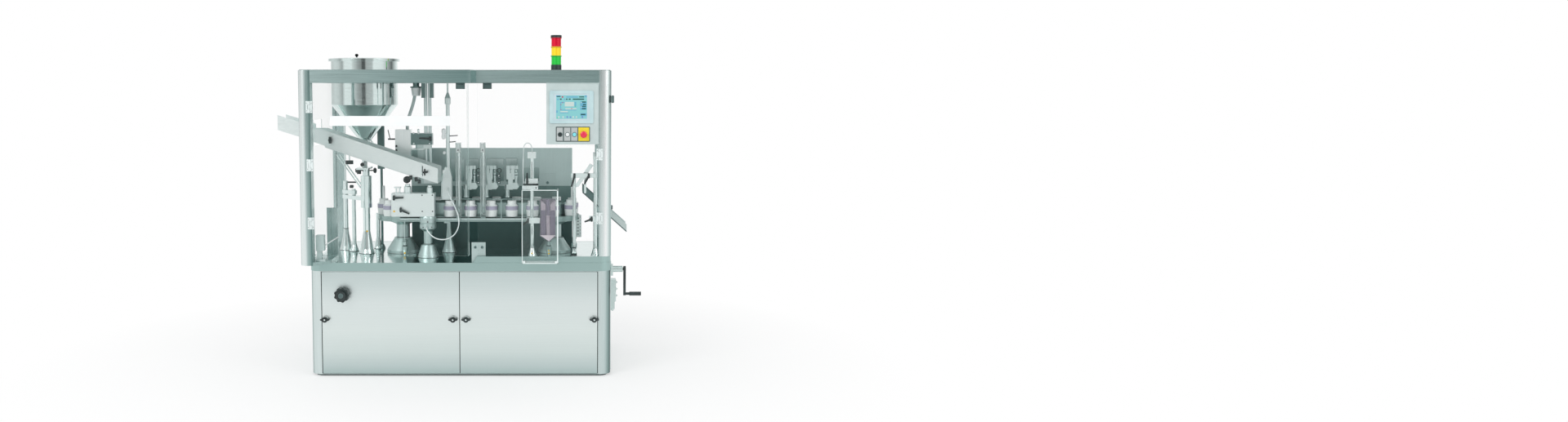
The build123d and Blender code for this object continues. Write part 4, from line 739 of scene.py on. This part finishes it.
def frame_screws():
    """Add the screws of the hinge leaves on the posts and on the doors."""
    m_screw = polished("screw_steel", (0.70, 0.75, 0.74), 0.18)
    sides = (("left", -0.9385, -0.9095, -0.668, (1.013, 1.3796, 1.744)),
             ("right", 0.9085, 0.8795, -0.538, (1.03025, 1.440)))
    for side, fixed, moving, y, heights in sides:
        for name, x, body in (("post", fixed, "root"), ("door", moving, f"guard_door_{side}")):
            places = [(x, y, z + dz) for z in heights for dz in (-0.024, 0.024)]
            screw_group(f"{side}_hinge_screws_{name}", places, 0.0036, m_screw, body)


# Small parts of the track, the columns and the guard

m_silver = polished("silver_cap", tone(222, 232, 231), 0.15)
m_pale = plastic("pale_plastic", tone(232, 238, 238), tone(244, 248, 248), 0.3)
m_shade = brushed("shaded_steel", tone(96, 120, 118), tone(126, 150, 148), 0.34, FINE_UPRIGHT, 0.001)
m_yellow = plastic("dot_yellow", (0.86, 0.50, 0.01), (0.94, 0.60, 0.02), 0.3)
m_crystal = polished("crystal_tip", tone(190, 210, 208), 0.08)


def plain_screw(shape, x, y, z, radius):
    """Add a screw that faces the front; its seat is at y."""
    shape.screw((x, y, z), FRONT, radius)


def yellow_dots():
    """Add the small round stickers on the drive box, the columns and the valves."""
    box_y = corner("drive_box", 0).y
    places = [(-0.4525, box_y, 1.051), (-0.667, -0.1038, 0.894), (-0.400, -0.2004, 0.7585),
              (0.565, -0.2036, 0.775), (0.565, -0.1995, 0.755), (0.455, -0.2996, 0.770)]
    shape = Shape()
    for place in places:
        shape.turned(place, FRONT, [(0.0066, -0.002), (0.0066, 0.0008), (0.0058, 0.0014), (0, 0.0016)], 20)
    shape.piece("yellow_dots", m_yellow)


def seals_and_foot_shadows():
    """Add the dark seals at the joints of the turned supports, and dark rings at the columns' feet that are
    painted contact shadows.
    """
    rings = [(-0.432, -0.028, 0.846, 0.0462, 0.004), (0.603, -0.028, 0.846, 0.0462, 0.004),
             (-0.235, -0.261, 0.829, 0.0298, 0.004), (-0.843, 0.085, 0.8885, 0.0180, 0.005),
             (0.734, -0.285, 0.8035, 0.0135, 0.006), (0.734, -0.285, 0.750, 0.0186, 0.018)]
    for x, y in ((-0.400, -0.186), (0.565, -0.186), (0.736, -0.028)):
        rings += [(x, y, 0.8055, 0.0146, 0.005), (x, y, 0.8355, 0.0168, 0.004)]
    # The dark rings at these feet are painted contact shadows on the worktop.
    feet = [(-0.672, -0.080, 0.056), (-0.775, 0.015, 0.037), (-0.843, 0.085, 0.047), (-0.631, 0.145, 0.030),
            (-0.432, -0.028, 0.109), (0.603, -0.028, 0.109), (-0.235, -0.261, 0.0705),
            (-0.119, -0.028, 0.050), (0.455, -0.275, 0.034), (0.873, -0.285, 0.034)]
    rings += [(x, y, 0.742, radius + 0.0006, 0.0028) for x, y, radius in feet]
    shape = Shape()
    for x, y, z, radius, height in rings:
        shape.turned((x, y, z), UP, [(radius - 0.002, 0), (radius, 0.0008), (radius, height - 0.0008),
                                     (radius - 0.002, height)], 36)
    shape.piece("seals_and_foot_shadows", m_black)


def panel_gap_shadows():
    """Put dark strips in the gaps beside and between the front panels, as painted shade."""
    low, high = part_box("cabinet_panel_left")
    shape = Shape()
    # Each strip is painted shade in a gap.
    for x in (-0.8970, -0.0085, 0.8815):
        shape.block((x, -0.5256, low.z), (x + 0.0050, -0.5240, high.z), 0.0004)
    shape.piece("panel_gap_shadows", m_black)


def caps():
    """Add the bright caps of the wing latches and the handwheel."""
    for number in range(1, 5):
        low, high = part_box(f"wing_latch_{number}")
        middle = (low + high) / 2
        shape = Shape()
        shape.turned((middle.x, low.y, middle.z), FRONT,
                     [(0.0056, -0.001), (0.0056, 0.0008), (0.0048, 0.0018), (0, 0.0022)], 28)
        shape.piece(f"latch_cap_{number}", m_silver, f"latch_{number}")
    low = corner("handwheel", 0)
    shape = Shape()
    shape.turned((-0.756, low.y, 0.540), FRONT,
                 [(0.017, -0.001), (0.017, 0.001), (0.014, 0.0026), (0, 0.0032)], 36)
    shape.piece("wheel_cap", m_dark, "handwheel")


def loader_parts():
    """Add the dark brackets of the shafts, the clamp block's face and the motor's plugs."""
    shade = Shape()
    for x in (-0.2854, -0.2286):
        shade.block((x - 0.0125, -0.0505, 1.7945), (x + 0.0125, -0.0055, 1.8945), 0.001)
    shade.block((-0.3712, -0.0545, 1.4755), (-0.2245, -0.0015, 1.5565), 0.003)
    shade.turned((-0.338, 0, 1.862), UP, [(0.012, 0), (0.040, 0), (0.040, 0.009), (0.022, 0.011),
                                         (0.022, 0.111)], 36)
    shade.piece("mast_brackets", m_shade)
    bolts = Shape()
    for x, z in ((-0.352, 1.566), (-0.318, 1.566), (-0.352, 1.486), (-0.244, 1.486)):
        plain_screw(bolts, x, -0.0545, z - 0.010 if z > 1.56 else z, 0.0065)
    bolts.turned((-0.322, -0.028, 1.556), UP, [(0.007, 0), (0.007, 0.024), (0.005, 0.028), (0, 0.028)], 16)
    bolts.piece("mast_bolts", m_silver)
    collar = Shape()
    collar.turned((-0.338, 0, 1.808), UP, [(0.012, 0), (0.028, 0), (0.034, 0.050), (0.034, 0.055),
                                          (0.012, 0.055)], 36)
    collar.piece("conduit_collar", m_pale)
    plugs = Shape()
    for z in (1.4686, 1.4407, 1.4128):
        plugs.turned((-0.470, -0.047, z), FRONT, [(0.0075, 0), (0.0075, 0.008), (0.005, 0.010), (0, 0.010)], 16)
    plugs.bar((-0.528, -0.040, 1.5155), (-0.477, -0.040, 1.5155), 0.010, 0.012)
    plugs.rod((-0.514, -0.040, 1.520), (-0.527, -0.040, 1.578), 0.003)
    plugs.piece("mast_plugs", m_black)


def chute_parts():
    """Add the knobs below the infeed chute, the gate at its end, and the post behind it."""
    black = Shape()
    for x, z in ((-0.345, 1.268), (-0.309, 1.256), (-0.289, 1.242)):
        black.block((x - 0.010, -0.283, z - 0.010), (x + 0.010, -0.262, z + 0.018), 0.002)
    black.turned((-0.392, -0.100, 1.245), FRONT, [(0.022, -0.02), (0.024, 0), (0.024, 0.022),
                                                 (0.018, 0.028), (0, 0.030)], 24)
    black.block((-0.2652, -0.2964, 1.282), (-0.2612, -0.2948, 1.350), 0.0006)
    black.turned((-0.250, -0.295, 1.309), FRONT, [(0.006, 0), (0.006, 0.006), (0.010, 0.012), (0, 0.018)], 20)
    black.block((-0.2545, -0.306, 1.286), (-0.2455, -0.300, 1.332), 0.003)
    black.turned((-0.731, -0.092, 1.306), UP, [(0, -0.018), (0.011, -0.012), (0.013, 0), (0.011, 0.012),
                                              (0, 0.018)], 20)
    black.turned((-0.610, -0.092, 1.306), UP, [(0, -0.020), (0.010, -0.013), (0.012, 0), (0.010, 0.013),
                                              (0, 0.020)], 20)
    black.rod((-0.731, -0.092, 1.306), (-0.610, -0.092, 1.306), 0.004)
    black.bar((-0.810, -0.020, 1.2205), (-0.748, -0.020, 1.2205), 0.010, 0.012)
    black.block((-0.797, -0.022, 1.180), (-0.772, 0.006, 1.200), 0.003)
    black.piece("chute_knobs", m_black)
    post = Shape()
    post.block((-0.629, 0.140, 1.300), (-0.581, 0.160, 1.600), 0.002)
    post.rod((-0.604, 0.150, 0.742), (-0.604, 0.150, 1.305), 0.009)
    post.turned((-0.604, 0.150, 0.742), UP, [(0.022, 0), (0.022, 0.008), (0.012, 0.030)], 24)
    post.piece("chute_post", m_shade)
    rods = Shape()
    for shift in (-0.010, 0.010):
        rods.rod((-0.7075 + shift, -0.040, 1.5857), (-0.617 + shift, -0.040, 1.456), 0.0045)
        rods.rod((-0.865 + shift, -0.052, 1.4113), (-0.705 + shift, -0.052, 1.184), 0.0045)
    rods.piece("chute_rods", m_rod)


def sight_parts():
    """Add a white cap, a steel rod and a bright tip inside each sight tube."""
    white = Shape()
    steel = Shape()
    tips = Shape()
    plugs = Shape()
    y = -0.225
    for x in (-0.034, 0.128):
        white.turned((x, y, 1.436), UP, [(0, 0), (0.0155, 0), (0.0155, 0.056), (0.012, 0.060), (0, 0.060)], 28)
        plain_screw(plugs, x, y - 0.0192, 1.452, 0.0045)
        steel.rod((x + 0.004, y, 1.075), (x + 0.004, y, 1.437), 0.007)
        tips.turned((x + 0.002, y, 1.028), UP, [(0, 0), (0.005, 0.006), (0.011, 0.020), (0.006, 0.030),
                                               (0.011, 0.040), (0.005, 0.048), (0, 0.049)], 10)
    white.piece("sight_caps", m_pale)
    steel.piece("sight_rods", m_rod)
    tips.piece("sight_tips", m_crystal)
    plugs.piece("sight_screws", m_black)


def nozzle_parts():
    """Add the levers and white grips on the nozzle's bar, and its small white cap."""
    levers = Shape()
    for z, reach in ((1.540, 0.050), (1.499, 0.036)):
        levers.bar((-0.101, -0.124, z), (-0.096 + reach, -0.124, z + 0.004), 0.006, 0.014)
    levers.piece("nozzle_levers", m_black)
    white = Shape()
    white.turned((-0.141, -0.124, 1.518), UP, [(0, 0), (0.012, 0.004), (0.015, 0.020), (0.010, 0.036),
                                              (0.015, 0.052), (0.012, 0.068), (0, 0.074)], 20)
    white.rod((-0.141, -0.124, 1.554), (-0.115, -0.124, 1.554), 0.005)
    white.turned((-0.137, -0.124, 1.415), UP, [(0, 0), (0.009, 0.005), (0.009, 0.018), (0, 0.024)], 20)
    white.rod((-0.137, -0.124, 1.427), (-0.115, -0.124, 1.427), 0.004)
    white.turned((-0.140, -0.138, 1.302), UP, [(0.010, -0.012), (0.010, 0.006), (0.007, 0.011), (0, 0.012)], 20)
    white.piece("nozzle_grips", m_pale)


def station_parts():
    """Add the black loops and sensors between the heads, and the faces of their plates, painted darker towards
    the bottom as painted shade.
    """
    loops = Shape()
    sensors = Shape()
    bright = Shape()
    thick = 0.0026
    for x in (0.085, 0.2264):
        outline = [(0.0135 + thick * cos(tau * i / 8), thick * sin(tau * i / 8)) for i in range(9)]
        loops.turned((x, -0.040, 1.302), FRONT, outline, 28)
        sensors.block((x - 0.010, -0.050, 1.250), (x + 0.007, -0.028, 1.289), 0.003)
        sensors.turned((x - 0.001, -0.040, 1.212), UP, [(0, 0), (0.009, 0), (0.009, 0.016), (0.012, 0.018),
                                                       (0.012, 0.034), (0.006, 0.040), (0, 0.040)], 16)
        sensors.rod((x - 0.030, -0.036, 1.268), (x, -0.036, 1.268), 0.004)
        plain_screw(bright, x - 0.002, -0.050, 1.269, 0.005)
        plain_screw(bright, x - 0.001, -0.052, 1.221, 0.005)
    low = corner("station_heads", 0)
    for x in (0.022, 0.161, 0.303):
        sensors.block((x - 0.038, low.y - 0.0006, 1.176), (x - 0.029, low.y + 0.004, 1.206), 0.001)
        sensors.turned((x + 0.036, -0.030, 1.268), UP, [(0.0124, 0), (0.0124, 0.006)], 24)
    loops.piece("sensor_loops", m_black)
    sensors.piece("sensor_bodies", m_dark)
    bright.piece("sensor_screws", m_silver)
    faces = Shape()
    y = 0.167
    for left, right, top in ((-0.129, -0.026, 1.370), (0.002, 0.077, 1.370), (0.128, 0.249, 1.372),
                             (0.258, 0.341, 1.374), (0.384, 0.495, 1.308)):
        faces.block((left + 0.003, y - 0.0008, 1.213), (right - 0.003, y + 0.001, top - 0.003), 0.0008)
    # The plate faces darken towards the bottom: painted shade.
    pale = by_height("plate_steel_painted_shade", 1, 0.36, [
        (1.213, tone(120, 146, 143)), (1.300, tone(168, 191, 188)), (1.374, tone(206, 222, 220))],
        FINE_UPRIGHT, 0.2, "Z", "LINEAR")
    faces.piece("plate_faces", pale)
    rivet = Shape()
    rivet.turned((0.552, 0.175, 1.201), FRONT, [(0.010, 0), (0.010, 0.003), (0.006, 0.005), (0.006, 0.003),
                                               (0, 0.003)], 24)
    rivet.piece("cover_rivet", m_shade)


def ruler_parts():
    """Add the scale slots of the graduated column, a dark block between its clamps that is painted shade, and
    the screws of its clamps.
    """
    dark = Shape()
    face = -0.2892
    for start, end in ((1.268, 1.374), (1.008, 1.062), (0.895, 0.955)):
        z = start
        while z < end:
            dark.block((0.4528, face - 0.0002, z), (0.4572, face + 0.002, z + 0.0075), 0.0004)
            z += 0.0100
    # Dark block in the gap between the clamps: painted shade.
    dark.block((0.398, -0.2910, 1.2215), (0.498, -0.262, 1.2325), 0.001)
    for x, z, y in ((0.430, 1.245, -0.297), (0.483, 1.2055, -0.295), (0.4285, 0.9816, -0.293)):
        plain_screw(dark, x, y, z, 0.0048)
    dark.piece("ruler_marks_and_clamp_shadow", m_black)


def rail_parts():
    """Add a black strip that is painted shade for the groove, and the bright bead, both on the front of the
    rail.
    """
    front = -0.196
    groove = Shape()
    # The groove is painted shade: a black strip on the rail's face.
    groove.block((-0.430, front - 0.0006, 0.9935), (0.603, front + 0.002, 1.0018), 0.0004)
    groove.piece("rail_groove_shade", m_black)
    bead = Shape()
    bead.block((-0.430, front - 0.0012, 0.9835), (0.603, front + 0.002, 0.9885), 0.0010)
    bead.piece("rail_bead", m_rod)


def pocket_parts():
    """Add the bright edges of the reject pocket, and the trough's inner faces, in a dark tone that is painted
    shade and a pale tone that is painted light.
    """
    low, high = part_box("reject_pocket")
    front = low.y - 0.0006
    edges = Shape()
    edges.block((low.x, front, high.z - 0.005), (high.x, front + 0.0045, high.z + 0.0004), 0.001)
    edges.block((low.x, front, low.z), (low.x + 0.005, front + 0.0045, high.z), 0.001)
    edges.block((high.x - 0.009, front, low.z), (high.x, front + 0.0045, high.z), 0.001)
    edges.block((low.x, front, low.z), (high.x, front + 0.0045, low.z + 0.006), 0.001)
    for x in (low.x + 0.004, high.x - 0.024):
        edges.block((x, front - 0.0006, low.z + 0.001), (x + 0.020, front + 0.003, low.z + 0.021), 0.003)
    edges.piece("pocket_edges", m_rim, "guard_door_right")
    back = -0.5315
    # Trough faces turned away from the light: painted shade.
    dark = Shape()
    dark.plate([(0.520, 1.080), (0.549, 1.080), (0.549, 0.906), (0.520, 0.928)], back, back + 0.001)
    dark.plate([(0.580, 1.080), (0.611, 1.080), (0.611, 0.926), (0.580, 0.900)], back, back + 0.001)
    dark.plate([(0.553, 1.150), (0.573, 1.150), (0.576, 1.050), (0.556, 1.050)], back, back + 0.001)
    dark.piece("trough_shaded_panels", plastic("trough_shade_tone", tone(96, 96, 112), tone(118, 116, 132), 0.35),
               "guard_door_right")
    # Trough faces turned to the light: a lit copy of the same plastic, painted light.
    light = Shape()
    light.plate([(0.553, 1.048), (0.576, 1.048), (0.577, 0.906), (0.556, 0.900)], back, back + 0.001)
    light.plate([(0.520, 1.145), (0.549, 1.120), (0.549, 1.082), (0.520, 1.082)], back, back + 0.001)
    light.plate([(0.580, 1.120), (0.611, 1.145), (0.611, 1.082), (0.580, 1.082)], back, back + 0.001)
    light.plate([(0.5155, 0.930), (0.572, 0.930), (0.572, 0.8925)], -0.6012, -0.5998)
    light.plate([(0.572, 0.930), (0.6145, 0.930), (0.572, 0.8925)], -0.6012, -0.5998)
    light.piece("trough_lit_panels", plastic("trough_lit_tone", tone(184, 176, 184), tone(200, 192, 198), 0.35),
                "guard_door_right")


def side_parts():
    """Add the slotted plate at the track's end, the exit's strip, and the right post's latch."""
    plate = Shape()
    plate.block((0.747, -0.082, 0.851), (0.785, -0.074, 1.003), 0.002)
    plate.piece("end_plate", m_light)
    slots = Shape()
    for i in range(6):
        z = 0.868 + 0.022 * i
        slots.block((0.755, -0.0828, z), (0.769, -0.0812, z + 0.006), 0.0006)
        slots.turned((0.777, -0.0815, z + 0.010), FRONT, [(0.003, 0), (0.003, 0.001), (0, 0.0012)], 10)
    low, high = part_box("discharge_chute")
    steep = (high.z - 0.052 - low.z) / (high.x - low.x)
    y = low.y
    for start, end, rise in ((0.0, 1.0, 0.004),):
        first = low.x + start * (high.x - low.x)
        last = low.x + end * (high.x - low.x)
        slots.bar((first, y, high.z - 0.052 - (first - low.x) * steep + rise),
                  (last, y, high.z - 0.052 - (last - low.x) * steep + rise), 0.007, 0.0016)
    slots.block((0.968, -0.520, 1.767), (0.986, -0.494, 1.815), 0.003)
    slots.block((0.968, -0.300, 1.062), (0.988, -0.272, 1.090), 0.003)
    slots.piece("side_marks", m_dark)
    fittings = Shape()
    for z in (0.575, 0.530, 0.485):
        fittings.turned((1.010, -0.280, z), (1, 0, 0), [(0.009, -0.001), (0.009, 0.006), (0.005, 0.008),
                                                       (0.005, 0.012), (0, 0.012)], 20)
    fittings.turned((0.990, -0.280, 0.401), (0, 0, -1), [(0.012, -0.001), (0.012, 0.010), (0.006, 0.018),
                                                        (0, 0.018)], 20)
    fittings.piece("air_fittings", m_silver)
    door_rod = Shape()
    door_rod.rod((-0.872, -0.565, 0.852), (-0.806, -0.400, 0.893), 0.004)
    door_rod.piece("switch_rod", m_pale)


def drive_screws():
    """Add the dark screws of the drive box, its flange and the rotary unit."""
    dark = Shape()
    box_y = corner("drive_box", 0).y
    for x in (-0.267, -0.199):
        for z in (1.051, 1.158):
            plain_screw(dark, x, box_y, z, 0.0045)
    for x, z, radius in ((-0.247, 1.007, 0.003), (-0.231, 0.981, 0.0045), (-0.262, 0.945, 0.004),
                         (-0.206, 0.945, 0.004)):
        depth = (0.0545 ** 2 - (x + 0.235) ** 2) ** 0.5
        plain_screw(dark, x, -0.261 - depth, z, radius)
    dark.piece("drive_screws", m_black)
    bolts = Shape()
    for x in (0.096, 0.140):
        plain_screw(bolts, x, -0.5048, 0.840, 0.0085)
    bolts.piece("catch_bolts", m_shade)


# Hoses

def hose(name, route, diameter, material, node):
    """Make a hose on one smooth curve through its route, and stand it for its solid."""
    data = bpy.data.curves.new(name, "CURVE")
    data.dimensions = "3D"
    spline = data.splines.new("NURBS")
    spline.points.add(len(route) - 1)
    for point, place in zip(spline.points, route):
        point.co = (*(part / 1000 for part in place), 1)
    spline.order_u = 3
    spline.use_endpoint_u = True
    spline.resolution_u = 12
    data.bevel_depth = diameter / 2000
    data.bevel_resolution = 6
    data.use_fill_caps = True
    data.materials.append(material)
    made = bpy.data.objects.new(name, data)
    bpy.context.scene.collection.objects.link(made)
    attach(made, "root")
    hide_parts(node)
    return made


# Routes of the hoses, in millimetres
FILLING_ROUTE = [
    (-235, -327.5, 945), (-235, -351, 945), (-227, -377, 930), (-190, -380, 888),
    (-140, -376, 870), (-88, -358, 874), (-46, -328, 905), (-26, -296, 955),
    (-30, -276, 1015), (-58, -256, 1080), (-84, -238, 1128), (-104, -214, 1167),
    (-113, -189, 1187), (-113, -166, 1187),
]
COLUMN_ROUTE = [
    (457, -275, 1440), (457, -275, 1463), (452, -275, 1484), (438, -275, 1499),
    (419, -276, 1501), (406, -277, 1487), (401, -278, 1466), (400, -281, 1425),
    (398, -285, 1370), (397, -286, 1315), (398, -282, 1272), (400, -278, 1244),
    (400, -278, 1220),
]
CONDUIT_ROUTE = [
    (-345, 0, 1973), (-345, 0, 1925), (-343, 0, 1865), (-348, 0, 1800),
    (-364, 0, 1738), (-384, 0, 1682), (-401, 0, 1628), (-401, 0, 1580),
]


# Floor, lamps and world

def floor():
    """Lay a pale floor that turns white far from the machine."""
    material = bpy.data.materials.new("studio_floor")
    material.use_nodes = True
    tree = material.node_tree
    tree.nodes.clear()
    output = tree.nodes.new("ShaderNodeOutputMaterial")
    pale = add(tree, "ShaderNodeBsdfDiffuse", Color=(0.9, 0.9, 0.9, 1))
    glow = add(tree, "ShaderNodeEmission", Color=(1, 1, 1, 1), Strength=1)
    path = tree.nodes.new("ShaderNodeLightPath")
    place = add(tree, "ShaderNodeTexCoord")
    length = tree.nodes.new("ShaderNodeVectorMath")
    length.operation = "LENGTH"
    tree.links.new(place.outputs["Object"], length.inputs[0])
    fade = add(tree, "ShaderNodeMapRange", From_Min=0.7, From_Max=3.0, To_Min=0.35, To_Max=1)
    tree.links.new(length.outputs["Value"], fade.inputs["Value"])
    seen = tree.nodes.new("ShaderNodeMath")
    seen.operation = "MAXIMUM"
    tree.links.new(path.outputs["Is Camera Ray"], seen.inputs[0])
    tree.links.new(path.outputs["Is Glossy Ray"], seen.inputs[1])
    through = tree.nodes.new("ShaderNodeMath")
    through.operation = "MAXIMUM"
    tree.links.new(seen.outputs[0], through.inputs[0])
    tree.links.new(path.outputs["Is Transmission Ray"], through.inputs[1])
    share = tree.nodes.new("ShaderNodeMath")
    share.operation = "MULTIPLY"
    tree.links.new(through.outputs[0], share.inputs[0])
    tree.links.new(fade.outputs["Result"], share.inputs[1])
    mix = tree.nodes.new("ShaderNodeMixShader")
    tree.links.new(share.outputs[0], mix.inputs["Fac"])
    tree.links.new(pale.outputs["BSDF"], mix.inputs[1])
    tree.links.new(glow.outputs["Emission"], mix.inputs[2])
    tree.links.new(mix.outputs["Shader"], output.inputs["Surface"])
    data = bpy.data.meshes.new("studio_floor")
    reach = 60
    data.from_pydata([(-reach, -reach, 0), (reach, -reach, 0), (reach, reach, 0), (-reach, reach, 0)],
                     [], [(0, 1, 2, 3)])
    data.materials.append(material)
    made = bpy.data.objects.new("studio_floor", data)
    bpy.context.scene.collection.objects.link(made)


def soft_lamp(name, place, target, size, power):
    """Add a large soft lamp that points at a target."""
    data = bpy.data.lights.new(name, "AREA")
    data.shape = "RECTANGLE"
    data.size, data.size_y = size
    data.energy = power
    made = bpy.data.objects.new(name, data)
    made.location = place
    aim = Vector(target) - Vector(place)
    made.rotation_euler = aim.to_track_quat("-Z", "Y").to_euler()
    bpy.context.scene.collection.objects.link(made)


def studio_world():
    """Light the scene from all sides, with pale and grey walls for the metal to reflect."""
    world = bpy.data.worlds.new("studio")
    bpy.context.scene.world = world
    world.use_nodes = True
    tree = world.node_tree
    tree.nodes.clear()
    output = tree.nodes.new("ShaderNodeOutputWorld")
    place = add(tree, "ShaderNodeTexCoord")
    split = add(tree, "ShaderNodeSeparateXYZ")
    tree.links.new(place.outputs["Generated"], split.inputs["Vector"])
    angle = tree.nodes.new("ShaderNodeMath")
    angle.operation = "ARCTAN2"
    tree.links.new(split.outputs["X"], angle.inputs[0])
    tree.links.new(split.outputs["Y"], angle.inputs[1])
    turn = add(tree, "ShaderNodeMapRange", From_Min=-pi, From_Max=pi, To_Min=0, To_Max=1)
    tree.links.new(angle.outputs[0], turn.inputs["Value"])
    walls = tree.nodes.new("ShaderNodeValToRGB")
    stops = [(0.0, 0.30), (0.03, 0.42), (0.08, 0.75), (0.10, 1.0), (0.17, 1.0), (0.20, 0.48),
             (0.25, 0.75), (0.30, 0.85), (0.38, 0.70), (0.43, 1.0), (0.50, 1.0), (0.56, 1.0),
             (0.62, 0.65), (0.67, 0.18), (0.72, 0.45), (0.78, 0.90), (0.81, 1.0), (0.885, 1.0),
             (0.90, 0.60), (0.955, 0.52), (0.97, 0.12), (0.995, 0.12), (1.0, 0.30)]
    elements = walls.color_ramp.elements
    while len(elements) < len(stops):
        elements.new(0.5)
    for element, (position, level) in zip(elements, stops):
        element.position = position
        element.color = (level, level, level, 1)
    tree.links.new(turn.outputs["Result"], walls.inputs["Fac"])
    above = add(tree, "ShaderNodeMapRange", From_Min=0.12, From_Max=0.60, To_Min=0, To_Max=1)
    tree.links.new(split.outputs["Z"], above.inputs["Value"])
    ceiling = tree.nodes.new("ShaderNodeMix")
    ceiling.data_type = "RGBA"
    tree.links.new(above.outputs["Result"], ceiling.inputs[0])
    tree.links.new(walls.outputs["Color"], ceiling.inputs[6])
    ceiling.inputs[7].default_value = (0.92, 0.94, 0.94, 1)
    lit = add(tree, "ShaderNodeBackground", Strength=0.95)
    tree.links.new(ceiling.outputs[2], lit.inputs["Color"])
    white = add(tree, "ShaderNodeBackground", Color=(1, 1, 1, 1), Strength=1)
    path = tree.nodes.new("ShaderNodeLightPath")
    seen = tree.nodes.new("ShaderNodeMath")
    seen.operation = "MAXIMUM"
    tree.links.new(path.outputs["Is Camera Ray"], seen.inputs[0])
    tree.links.new(path.outputs["Is Transmission Ray"], seen.inputs[1])
    mix = tree.nodes.new("ShaderNodeMixShader")
    tree.links.new(seen.outputs[0], mix.inputs["Fac"])
    tree.links.new(lit.outputs["Background"], mix.inputs[1])
    tree.links.new(white.outputs["Background"], mix.inputs[2])
    tree.links.new(mix.outputs["Shader"], output.inputs["Surface"])


make_camera()
hose("filling_hose_line", FILLING_ROUTE, 8, m_hose, "filling_hose")
hose("column_hose_line", COLUMN_ROUTE, 6, m_hose, "column_hose")
hose("conduit_line", CONDUIT_ROUTE, 22, m_conduit, "motor_conduit")
signal_lamp()
operator_panel()
control_strip()
door_strip()
frame_screws()
yellow_dots()
seals_and_foot_shadows()
panel_gap_shadows()
caps()
loader_parts()
chute_parts()
sight_parts()
nozzle_parts()
station_parts()
ruler_parts()
rail_parts()
pocket_parts()
side_parts()
drive_screws()
floor()
studio_world()
soft_lamp("key_lamp", (-3.5, -5.0, 5.0), (0, 0, 1.0), (3.0, 2.0), 120)
soft_lamp("fill_lamp", (4.5, -4.0, 3.5), (0, 0, 1.2), (2.5, 2.0), 50)
bpy.context.scene.view_settings.view_transform = "Standard"
